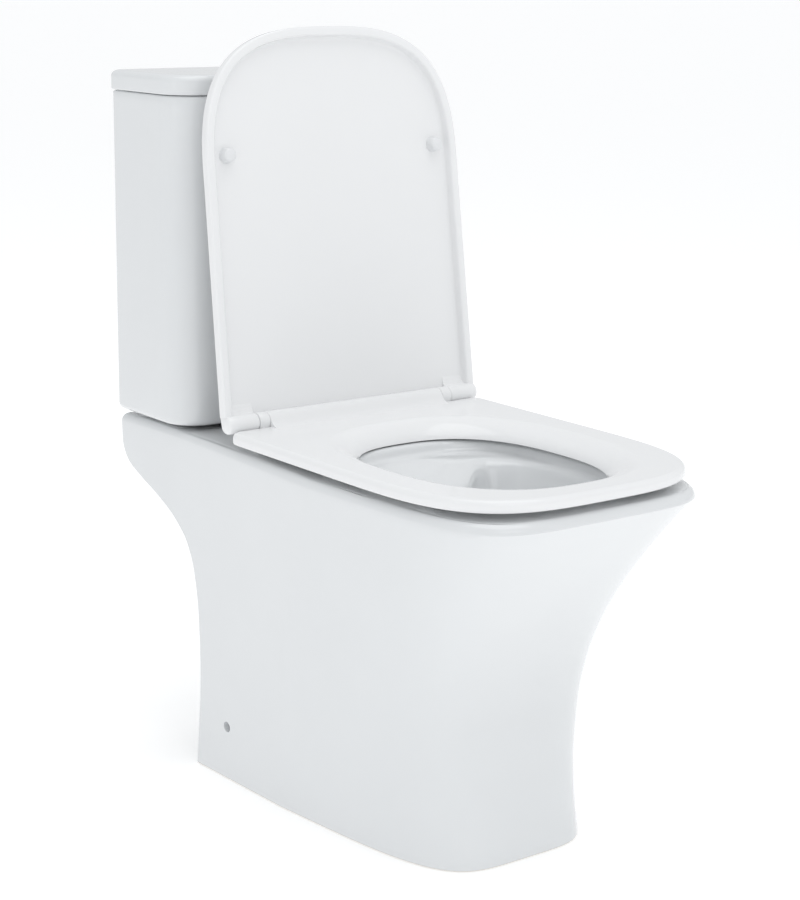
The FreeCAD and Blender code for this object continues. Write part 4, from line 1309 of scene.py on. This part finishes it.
@dataclass
class SeatRing:
    """The seat ring with its hinge barrel and four buffers."""

    hinge: Hinge
    bottom: float = 410.0
    top: float = 423.0
    back: float = 90.0
    front: float = -326.0
    half_width: float = 171.5
    taper: float = 0.01
    bend_y: float = -119.0
    power: float = 3.4
    corner_r: float = 14.0
    top_r: float = 6.0
    bottom_r: float = 3.5
    hole: tuple = (7.0, -266.0, 107.5, 2.55)
    slope_back: float = 30.0
    slope_front: float = 33.0
    slope_side: float = 31.0
    lip_z: float = 403.5
    foot_y: float = 73.5
    # how far up the slope to the hole, and how far below the top
    slope: tuple = ((1.0, 0.0), (0.93, 0.12), (0.82, 0.75), (0.68, 2.1), (0.5, 4.6),
                    (0.33, 7.8), (0.18, 11.4), (0.07, 15.0), (0.02, 17.6), (0.0, 18.9))
    foot_margin: float = 30.0
    pad_x: float = 135.0
    pad_places: tuple = (-55.0, -218.0)
    pad_half: float = 11.0
    pad_r: float = 5.0
    half_columns: int = 64
    edge_rows: int = 22

    def outline(self) -> np.ndarray:
        """The outline from the middle of the back round to it again, as a closed loop.

        Returns:
            Rows of x, y and 1 for a column on the hinge barrel or 0 for any other.
        """
        corner = arc((self.half_width - self.corner_r, self.back - self.corner_r),
                     self.corner_r, 90, 0, 30)
        forward, wide = quarter(self.power)
        nose = np.column_stack((self.half_width * (1 - self.taper * forward) * wide,
                                self.bend_y - (self.bend_y - self.front) * forward))
        curve = spread(np.vstack((corner, nose)), self.half_columns)
        end = self.hinge.barrel_half
        straight = [(x, self.back, 1) for x in np.linspace(0, end - 1.5, 12)]
        straight += [(end - 0.4, self.back, 1), (end, self.back, 1), (end, self.back, 0)]
        straight += [(x, self.back, 0) for x in (end + 8, end + 18, end + 29)]
        right = np.vstack((straight, np.column_stack((curve, np.zeros(len(curve))))))
        return np.vstack((right, right[-2:0:-1] * (-1, 1, 1)))

    def edge(self, barrel: bool, end_round: float) -> np.ndarray:
        """Profile of the outer edge as distance outwards and height, from below to the top.

        Args:
            barrel: The edge rises to the hinge barrel.
            end_round: How much smaller the barrel is here, for its rounded ends.

        Returns:
            Rows of outward distance and height.
        """
        if not barrel:
            low = arc((-self.bottom_r, self.bottom + self.bottom_r), self.bottom_r, -90, 0, 8)
            high = arc((-self.top_r, self.top - self.top_r), self.top_r, 0, 90,
                       self.edge_rows - 8)
            return np.vstack((low, high))
        centre = (self.hinge.y - self.back, self.hinge.z)
        radius = self.hinge.barrel_r - end_round
        low = np.array([(-self.bottom_r, self.bottom), (2.0, self.bottom + 1.0), (5.5, 413.6)])
        roll = arc(centre, radius, -80, 150, self.edge_rows - 3 - 7)
        foot = np.array([(self.foot_y - self.back, self.top)])
        start = roll[-1]
        lean = np.array([(-0.5, -0.87)])
        t = np.linspace(0, 1, 8)[1:, None]
        reach = np.linalg.norm(foot - start)
        bend = (start * (1 - t) ** 3 + 3 * (start + lean * reach * 0.42) * t * (1 - t) ** 2
                + 3 * (foot + np.array([(reach * 0.42, 0.0)])) * t ** 2 * (1 - t) + foot * t ** 3)
        return np.vstack((low, roll, bend))

    def body(self) -> bpy.types.Object:
        """The ring as one closed grid of profiles.

        Returns:
            The object.
        """
        outline = self.outline()
        around = outline[:, :2]
        run = np.roll(around, -1, axis=0) - np.roll(around, 1, axis=0)
        run /= np.maximum(np.linalg.norm(run, axis=1), 1e-9)[:, None]
        outward = np.column_stack((-run[:, 1], run[:, 0]))
        outward[np.abs(around[:, 1] - self.back) < 1e-6] = (0.0, 1.0)
        sign = np.sign(np.sum(outward * (around - (0, -110)), axis=1))
        outward *= sign[:, None]
        back, front, wide, power = self.hole
        middle = (back + front) / 2
        angle = np.arctan2(around[:, 1] - middle, around[:, 0])
        rings = []
        for share, drop in self.slope:
            flat = oval(angle, back + self.slope_back * share, front - self.slope_front * share,
                        wide + self.slope_side * share, power)
            rings.append(level(flat, self.top - drop))
        for grow, z in ((0.8, self.lip_z), (3.2, self.lip_z), (4.0, self.lip_z + 0.8),
                        (4.3, self.bottom - 0.8), (5.4, self.bottom)):
            rings.append(level(oval(angle, back + grow, front - grow, wide + grow, power), z))
        columns = []
        for i, (x, y, on_barrel) in enumerate(outline):
            end_round = 0.5 if on_barrel and abs(abs(x) - self.hinge.barrel_half) < 0.1 else 0.0
            edge = self.edge(bool(on_barrel), end_round)
            outer = np.column_stack((x + outward[i, 0] * edge[:, 0],
                                     y + outward[i, 1] * edge[:, 0], edge[:, 1]))
            hole = np.array([ring[i] for ring in rings])
            foot = outer[-1] + (hole[0] - outer[-1]) * 0.12
            if y > self.back - 1e-6 and abs(x) < self.hinge.barrel_half + self.foot_margin:
                foot = np.array((x, self.foot_y, self.top))
            flat = [foot + (hole[0] - foot) * t for t in np.linspace(0, 1, 6)[:-1]]
            under = [hole[-1] + (outer[0] - hole[-1]) * t for t in np.linspace(0, 1, 5)[1:-1]]
            columns.append(np.vstack((outer, flat, hole, under)))
        return shaped("seat_ring_moulding", Shell().loops(columns, ring=True))

    def buffers(self) -> bpy.types.Object:
        """Four oblong pads under the ring.

        Returns:
            The object.
        """
        shell = Shell()
        for side in SIDES:
            for y in self.pad_places:
                x = side * self.pad_x
                pad = np.vstack((arc((x, y + self.pad_half), self.pad_r, 0, 180, 12),
                                 arc((x, y - self.pad_half), self.pad_r, 180, 360, 12)))
                shell.prism(pad, RIM_Z + self.hinge.gap, self.bottom + 0.5)
        return soften(shaped("seat_ring_pads", shell), 1.2)

    def dress(self) -> None:
        """Build the ring and its pads and dress them."""
        dressed(self.body(), SEAT_WHITE, "seat_ring_body", "seat_ring", sharp=55)
        dressed(self.buffers(), BUFFER_WHITE, "seat_ring_body", "seat_ring_buffers")


@dataclass
class SeatLid:
    """The seat lid, built closed and turned up to its open position."""

    hinge: Hinge
    open_deg: float = 97.55
    half_width: float = 171.5
    end_half_width: float = 168.0
    length: float = 431.0
    thickness: float = 13.0
    panel: float = 4.0
    border: float = 11.0
    inner_offset: float = -2.7
    outer_r: float = 3.5
    inner_r: float = 2.4
    power: float = 2.9
    bend_share: float = 0.617
    rear_cut: float = 8.6
    half_columns: int = 66
    buffer_x: float = 139.0
    buffer_reach: float = 287.0
    ring_top: float = 423.0

    @property
    def inner_z(self) -> float:
        """Height of the border's rim when the lid is closed."""
        return self.hinge.z + self.inner_offset

    @property
    def outer_z(self) -> float:
        """Height of the outer face when the lid is closed."""
        return self.inner_z + self.thickness

    @property
    def panel_z(self) -> float:
        """Height of the panel's inner face when the lid is closed."""
        return self.outer_z - self.panel

    def opened(self, shell: Shell) -> Shell:
        """Turn a closed shell up round the hinge line.

        Args:
            shell: The shell, as it is when the lid is closed.

        Returns:
            The same shell.
        """
        turn = math.radians(-self.open_deg)
        c, s = math.cos(turn), math.sin(turn)
        for points in shell.points:
            y, z = points[:, 1] - self.hinge.y, points[:, 2] - self.hinge.z
            points[:, 1], points[:, 2] = (self.hinge.y + y * c - z * s,
                                          self.hinge.z + y * s + z * c)
        return shell

    def half(self, inset: float, rear: float) -> np.ndarray:
        """Right hand half of the outline moved inwards, from the rear edge to the front.

        Args:
            inset: How far it is moved inwards.
            rear: Where its rear edge is.

        Returns:
            Rows of x and y.
        """
        end = self.hinge.y + self.hinge.barrel_r
        bend = end - self.bend_share * self.length
        forward, wide = quarter(self.power)
        nose = np.column_stack((self.end_half_width * wide,
                                bend - (bend - (end - self.length)) * forward))
        y = np.linspace(rear, bend, 50)
        x = np.interp(y, (bend, end), (self.end_half_width, self.half_width))
        curve = np.vstack((np.column_stack((x, y)), nose[1:]))
        moved = inward(curve, inset)
        moved[:, 1] = np.minimum(moved[:, 1], rear)
        return spread(moved, self.half_columns)

    def tray(self) -> Shell:
        """The panel with its border, open at the hinge.

        Returns:
            The closed lid as a shell.
        """
        rear = self.hinge.y - self.rear_cut
        outer, inner = [], []
        turns = np.radians(np.linspace(0, 90, 7))
        edge = [(self.outer_r * (1 - math.cos(a)), self.outer_z - self.outer_r * (1 - math.sin(a)))
                for a in turns]
        lip = [(self.inner_r * (1 - math.cos(a)), self.inner_z + self.inner_r * (1 - math.sin(a)))
               for a in turns]
        top = self.border - 1.2
        wall = [(5.0, self.inner_z), (top - 2.0, self.inner_z), (top - 0.8, self.inner_z + 0.25),
                (top, self.inner_z + 1.2), (self.border - 0.6, self.inner_z + 3.5),
                (self.border, self.panel_z - 2.5), (self.border + 0.7, self.panel_z - 0.9),
                (self.border + 2.2, self.panel_z - 0.15), (self.border + 4.5, self.panel_z)]
        for (out_inset, out_z), (in_inset, in_z) in zip(
                edge + [(i, self.outer_z) for i, _ in wall], lip + wall):
            outer.append(self.loop(out_inset, out_z, rear))
            inner.append(self.loop(in_inset, in_z, rear))
        last_out, last_in = outer[-1], inner[-1]
        for share in np.linspace(0, 1, 9)[1:]:
            for rows, last in ((outer, last_out), (inner, last_in)):
                spine = last.copy()
                spine[:, 0] = 0.0
                spine[:, 1] = np.clip(spine[:, 1], -150.0, rear)
                rows.append(last + (spine - last) * share)
        outer, inner = np.array(outer), np.array(inner)
        return Shell().walled(outer, inner, False, np.ones(outer.shape[:2], bool), folded=True)

    def loop(self, inset: float, z: float, rear: float) -> np.ndarray:
        """The outline from the right rear end round the front to the left one."""
        right = self.half(inset, rear)
        return level(np.vstack((right, right[-2::-1] * (-1, 1))), z)

    def ears(self, shell: Shell) -> Shell:
        """Add the two hinge ears, each a boss that runs into the border.

        Args:
            shell: The lid that they are added to.

        Returns:
            The same shell.
        """
        y, z, r = self.hinge.y, self.hinge.z, self.hinge.barrel_r
        top, panel = self.outer_z - 0.05, self.panel_z
        back = arc((y, z), r, 78, -172, 30)
        toe = np.array([(y - 10.3, z + 0.9), (y - 11.6, z + 3.0), (y - 13.8, z + 4.7),
                        (y - 17.0, z + 5.8), (y - 21.0, panel + 0.1), (y - 23.0, panel + 1.2),
                        (y - 23.0, top - 0.8), (y - 21.0, top), (y - 12.0, top)])
        section = np.vstack((back, toe))
        middle = np.array((y - 2.0, z + 3.0))
        near, far = self.hinge.post_half + self.hinge.gap, self.half_width - 1.1
        for side in SIDES:
            rows = []
            for x, shrink in ((near, 1.6), (near + 0.5, 0.8), (near + 1.4, 0.25), (near + 3, 0.0),
                              (far - 14.0, 0.0), (far - 4.0, 0.0), (far - 2.8, 0.25),
                              (far - 1.6, 0.9), (far - 0.7, 1.9), (far - 0.1, 3.2)):
                out = section - middle
                size = np.linalg.norm(out, axis=1)[:, None]
                moved = middle + out * (1 - shrink / np.maximum(size, 5.0))
                rows.append(np.column_stack((np.full(len(moved), side * x), moved)))
            shell.loops(rows)
        return shell

    def knobs(self) -> Shell:
        """Two round buffers on the panel's inner face.

        Returns:
            Both buffers as a shell.
        """
        shell, tip = Shell(), self.ring_top + self.hinge.gap
        profile = [(0, self.panel_z + 0.4), (8.6, self.panel_z + 0.4), (8.6, self.panel_z - 1.0),
                   (8.0, self.panel_z - 2.0), (7.7, tip + 2.6), (7.3, tip + 1.4),
                   (6.4, tip + 0.5), (5.0, tip), (0, tip)]
        for side in SIDES:
            shell.turned(profile, (side * self.buffer_x, self.hinge.y - self.buffer_reach, 0))
        return shell

    def dress(self) -> None:
        """Build the lid and its buffers and dress them."""
        lid = shaped("seat_lid_moulding", self.opened(self.ears(self.tray())))
        dressed(lid, SEAT_WHITE, "seat_lid_body", "seat_lid", sharp=48)
        knobs = shaped("seat_lid_knobs", self.opened(self.knobs()))
        dressed(knobs, BUFFER_WHITE, "seat_lid_body", "seat_lid_buffers")


# ---- push button ------------------------------------------------------------------------------


@dataclass
class PushButton:
    """The two part chrome button and its bezel on the cistern cover."""

    top: float = COVER_TOP
    radius: float = 20.0
    collar_r: float = 23.7
    flange_r: float = 29.0
    split_x: float = -4.0
    gap: float = 0.35
    rod_x: float = 12.0
    rod_y: float = 250.0

    def half_disc(self, name: str, side: int) -> bpy.types.Object:
        """One half of the round button: side -1 is the half flush, 1 the full flush.

        Args:
            name: The object's name.
            side: -1 or 1.

        Returns:
            The object.
        """
        top, low = self.top + 3.5, self.top - 5.5
        edge = self.split_x + side * self.gap / 2
        half_height = math.sqrt(self.radius ** 2 - edge ** 2)
        start = math.degrees(math.atan2(half_height, edge))
        flat = (arc((0, BUTTON_Y), self.radius, -start, start, 40) if side > 0
                else arc((0, BUTTON_Y), self.radius, start, 360 - start, 32))
        shell = Shell().prism(flat, low, top)
        shell.turned([(0, low - 4), (4.2, low - 4), (4.2, low + 1), (0, low + 1)],
                     (side * self.rod_x, self.rod_y, 0), count=24)
        return soften(shaped(name, shell), 0.7)

    def bezel(self) -> bpy.types.Object:
        """The flanged collar that holds the button.

        Returns:
            The object.
        """
        top, inside = self.top, self.radius + self.gap
        profile = [(inside, top - 22), (inside, top + 3.4), (self.radius + 0.9, top + 4.0),
                   (26.5, top + 3.8), (28.2, top + 2.6), (self.flange_r, top + 1.0),
                   (self.flange_r, top), (self.collar_r, top), (self.collar_r, top - 40),
                   (21.5, top - 40), (21.5, top - 26), (14, top - 26), (14, top - 22)]
        return shaped("button_collar", Shell().turned(profile, (0, BUTTON_Y, 0), ring=True,
                                                      count=72))

    def dress(self) -> None:
        """Build the button and dress it."""
        dressed(self.bezel(), CHROME, "cistern_lid_body", "button_bezel")
        dressed(self.half_disc("full_flush_key", 1), CHROME, "full_button_body",
                "full_flush_button")
        dressed(self.half_disc("half_flush_key", -1), CHROME, "half_button_body",
                "half_flush_button")


# ---- fixings and fittings ---------------------------------------------------------------------


@dataclass
class Fixings:
    """Threaded bolts, and ribs on the parts that are turned by hand."""

    coupling_r: float = 3.9
    floor_z: float = 417.0
    under_deck: float = 384.0
    seat_bolt_r: float = 4.0
    ridge: float = 0.4
    pitch: float = 1.5

    def threaded(self, name: str, shell: Shell, finish: Finish, radius: float, start: float,
                 length: float, x: float, y: float) -> bpy.types.Object:
        """A pair of bolts with a thread on each.

        Args:
            name: The piece's name.
            shell: Both bolts without their thread.
            finish: Their finish.
            radius: The shank's radius.
            start: Where the thread starts, from below.
            length: How long it is.
            x: How far each bolt is from the middle.
            y: Where both are along Y.

        Returns:
            The object.
        """
        return THREAD.apply(shaped(name, shell), finish, radius=(radius - THREAD_DEPTH) * METRE,
                            ridge=self.ridge * METRE, pitch=self.pitch * METRE,
                            length=length * METRE, x=x * METRE, y=y * METRE, z=start * METRE)

    def coupling_bolts(self) -> bpy.types.Object:
        """The two bolts that hold the tank on the pan.

        Returns:
            The object.
        """
        shell, low, head = Shell(), self.under_deck - 28, self.floor_z + 5.5
        hexagon = arc((0, 0), 7.5, 0, 300, 6)
        core = self.coupling_r - THREAD_DEPTH
        for side in SIDES:
            at = (side * COUPLING_X, VALVE_Y)
            shell.prism(hexagon + at, head, head + 5.5)
            shell.turned([(0, low), (self.coupling_r - 0.9, low), (core, low + 1),
                          (core, head + 0.5), (0, head + 0.5)], (*at, 0), count=24)
        return self.threaded("coupling_bolt_pair", shell, STEEL, self.coupling_r, low + 1, 30,
                             COUPLING_X, VALVE_Y)

    def seat_bolts(self) -> bpy.types.Object:
        """The two bolts that hold the hinge posts on the deck.

        Returns:
            The object.
        """
        shell, low, head = Shell(), self.under_deck - 26, 406.5
        for side in SIDES:
            r = self.seat_bolt_r - THREAD_DEPTH
            shell.turned([(0, low), (r - 0.5, low), (r, low + 1), (r, head), (7.0, head),
                          (7.0, head + 2.0), (6.4, head + 3.2), (5.2, head + 3.8),
                          (2.0, head + 3.8), (1.6, head + 2.0), (0, head + 2.0)],
                         (side * SEAT_BOLT_X, SEAT_BOLT_Y, 0), count=32)
        return self.threaded("seat_bolt_pair", shell, CHROME, self.seat_bolt_r, low + 1, 32,
                             SEAT_BOLT_X, SEAT_BOLT_Y)

    def bezel_nut(self) -> bpy.types.Object:
        """The ribbed ring under the cistern cover that holds the push button.

        Returns:
            The object.
        """
        low, high = 776.0, 784.0
        shell = Shell().turned([(23.7, low), (30.0, low), (30.0, high), (23.7, high)],
                               (0, BUTTON_Y, 0), ring=True, count=60)
        return RIBS.apply(shaped("bezel_ring_nut", shell), FITTING_WHITE, count=24,
                          radius=30.0 * METRE, depth=1.8 * METRE, width=2.6 * METRE,
                          height=(high - low - 0.6) * METRE, x=0.0, y=BUTTON_Y * METRE,
                          z=(low + high) / 2 * METRE)

    def valve_cap(self) -> bpy.types.Object:
        """The ribbed cap of the fill valve.

        Returns:
            The object.
        """
        low, high = 646.0, 658.0
        shell = Shell().turned([(17.0, low), (18.2, low), (18.2, high), (17.0, high)],
                               (*FILL_VALVE, 0), ring=True, count=48)
        return RIBS.apply(shaped("fill_valve_ribbed_cap", shell), FITTING_BLUE, count=28,
                          radius=18.1 * METRE, depth=1.6 * METRE, width=1.6 * METRE,
                          height=(high - low - 1.6) * METRE, x=FILL_VALVE[0] * METRE,
                          y=FILL_VALVE[1] * METRE, z=(low + high) / 2 * METRE)

    def float_cup(self) -> bpy.types.Object:
        """The float: an upturned cup with ribs down its side.

        Returns:
            The object.
        """
        low, high, r = 560.0, 622.0, 29.9
        profile = [(15.5, low), (13.35, low), (13.35, high), (r - 1.2, high), (r, high - 1.2),
                   (r, low), (28.2, low), (28.2, high - 3), (15.5, high - 3)]
        shell = Shell().turned(profile, (*FILL_VALVE, 0), ring=True, count=64)
        return RIBS.apply(shaped("fill_float_cup", shell), FITTING_WHITE, count=16,
                          radius=r * METRE, depth=1.8 * METRE, width=2.2 * METRE,
                          height=(high - low - 10) * METRE, x=FILL_VALVE[0] * METRE,
                          y=FILL_VALVE[1] * METRE, z=(low + high - 4) / 2 * METRE)

    def dress(self) -> None:
        """Build the fixings and dress them."""
        dressed(self.coupling_bolts(), STEEL, "pan_body", "coupling_bolts")
        dressed(self.seat_bolts(), CHROME, "pan_body", "hinge_bolts")
        dressed(self.bezel_nut(), FITTING_WHITE, "cistern_lid_body", "bezel_nut")
        dressed(self.valve_cap(), FITTING_BLUE, "pan_body", "fill_valve_cap")
        dressed(self.float_cup(), FITTING_WHITE, "float_body", "fill_float")


@dataclass
class PlainNodes:
    """CAD nodes that are shown as they are, with their finishes."""

    finishes: tuple[Finish, ...] = (WHITE_GLAZE, SEAT_WHITE, HINGE_WHITE, BUFFER_WHITE,
                                    GREY_RUBBER, RED_SEAL, FITTING_WHITE, FITTING_BLUE,
                                    DAMPER_GREY, CHROME, STEEL, BRASS)

    def dress(self) -> None:
        """Give each shown CAD node the finish of its slot."""
        by_slot = {finish.slot.value: finish for finish in self.finishes}
        slots = {part["node"]: part["material_slot"]
                 for part in frame["record"]["subparts"]}
        for name, node in sorted(frame["nodes"].items()):
            if not node.hide_render:
                finish = by_slot[slots[name]]
                node.data.materials.clear()
                node.data.materials.append(finish.material())
                LOG.info("%s: CAD node in %s", name, finish.name)


# ---- studio -----------------------------------------------------------------------------------


@dataclass
class Studio:
    """Floor, soft light and camera."""

    camera_at: tuple = (-1.3581, -1.7867, 0.9213)
    yaw: float = -37.232
    pitch: float = 13.379
    roll: float = 0.69
    lens: float = 84.73
    shift: tuple = (-0.0063, 0.0105)
    sky: float = 0.74
    sky_colour: tuple = (0.97, 0.985, 1.0)
    # place, target, width, height, power
    lamps: tuple = (((-0.9, -3.4, 2.6), (0.0, 0.0, 0.4), 2.4, 1.4, 9.0),
                    ((3.2, -1.6, 1.9), (0.0, 0.0, 0.4), 1.2, 2.4, 1.0),
                    ((-3.4, -0.4, 1.5), (0.0, 0.0, 0.35), 0.7, 2.2, 1.5),
                    ((0.0, -0.5, 3.8), (0.0, -0.15, 0.3), 3.0, 3.0, 34.0))
    glow: float = 0.30

    def floor(self) -> None:
        """A wide pale floor."""
        paint = Finish("studio_floor", Slot.GLAZE, (0.93, 0.93, 0.93), (0.92, 0.92, 0.92),
                       gloss=(0.6, 0.7), grain=400.0)
        far, under = 60000.0, -0.3
        mesh = bpy.data.meshes.new("studio_floor")
        mesh.from_pydata([(x * far * METRE, y * far * METRE, under * METRE)
                          for x, y in ((-1, -1), (1, -1), (1, 1), (-1, 1))], [], [(0, 1, 2, 3)])
        floor = bpy.data.objects.new("studio_floor", mesh)
        bpy.context.scene.collection.objects.link(floor)
        mesh.materials.append(paint.material())
        shader = paint.material().node_tree.nodes["Principled BSDF"]
        shader.inputs["Emission Color"].default_value = (1.0, 1.0, 1.0, 1.0)
        shader.inputs["Emission Strength"].default_value = self.glow

    def light(self) -> None:
        """A pale sky and four soft boxes."""
        world = bpy.data.worlds.new("studio_sky")
        bpy.context.scene.world = world
        world.use_nodes = True
        sky = world.node_tree.nodes["Background"]
        sky.inputs["Color"].default_value = (*self.sky_colour, 1.0)
        sky.inputs["Strength"].default_value = self.sky
        for i, (place, target, width, height, power) in enumerate(self.lamps):
            lamp = bpy.data.lights.new(f"soft_box_{i}", "AREA")
            lamp.shape, lamp.size, lamp.size_y, lamp.energy = "RECTANGLE", width, height, power
            box = bpy.data.objects.new(f"soft_box_{i}", lamp)
            box.location = place
            box.rotation_euler = (Vector(target) - Vector(place)).to_track_quat(
                "-Z", "Y").to_euler()
            bpy.context.scene.collection.objects.link(box)

    def camera(self) -> None:
        """The camera, at the viewing angle."""
        yaw, pitch, roll = (math.radians(a) for a in (self.yaw, self.pitch, self.roll))
        back = Vector((math.sin(yaw) * math.cos(pitch), -math.cos(yaw) * math.cos(pitch),
                       math.sin(pitch)))
        right = (-back).cross(Vector((0, 0, 1))).normalized()
        up = right.cross(-back)
        rolled = math.cos(roll) * right + math.sin(roll) * up
        risen = -math.sin(roll) * right + math.cos(roll) * up
        lens = bpy.data.cameras.new("studio_camera")
        lens.sensor_width, lens.lens = 36.0, self.lens
        lens.shift_x, lens.shift_y = self.shift
        camera = bpy.data.objects.new("studio_camera", lens)
        turn = Matrix((rolled, risen, back)).transposed()
        camera.matrix_world = Matrix.Translation(self.camera_at) @ turn.to_4x4()
        bpy.context.scene.collection.objects.link(camera)
        bpy.context.scene.camera = camera

    def build(self) -> None:
        """Build all of the studio."""
        bpy.context.scene.view_settings.view_transform = "Standard"
        self.floor()
        self.light()
        self.camera()


def main() -> None:
    """Build every piece in order, and the studio round them."""
    logging.basicConfig(level=logging.INFO, format="%(message)s", stream=sys.stdout)
    hinge = Hinge()
    for part in (Pan(), Cistern(), hinge, SeatRing(hinge), SeatLid(hinge), PushButton(),
                 Fixings(), PlainNodes()):
        LOG.info("building %s", type(part).__name__)
        part.dress()
    Studio().build()


if __name__ == "__main__":
    main()
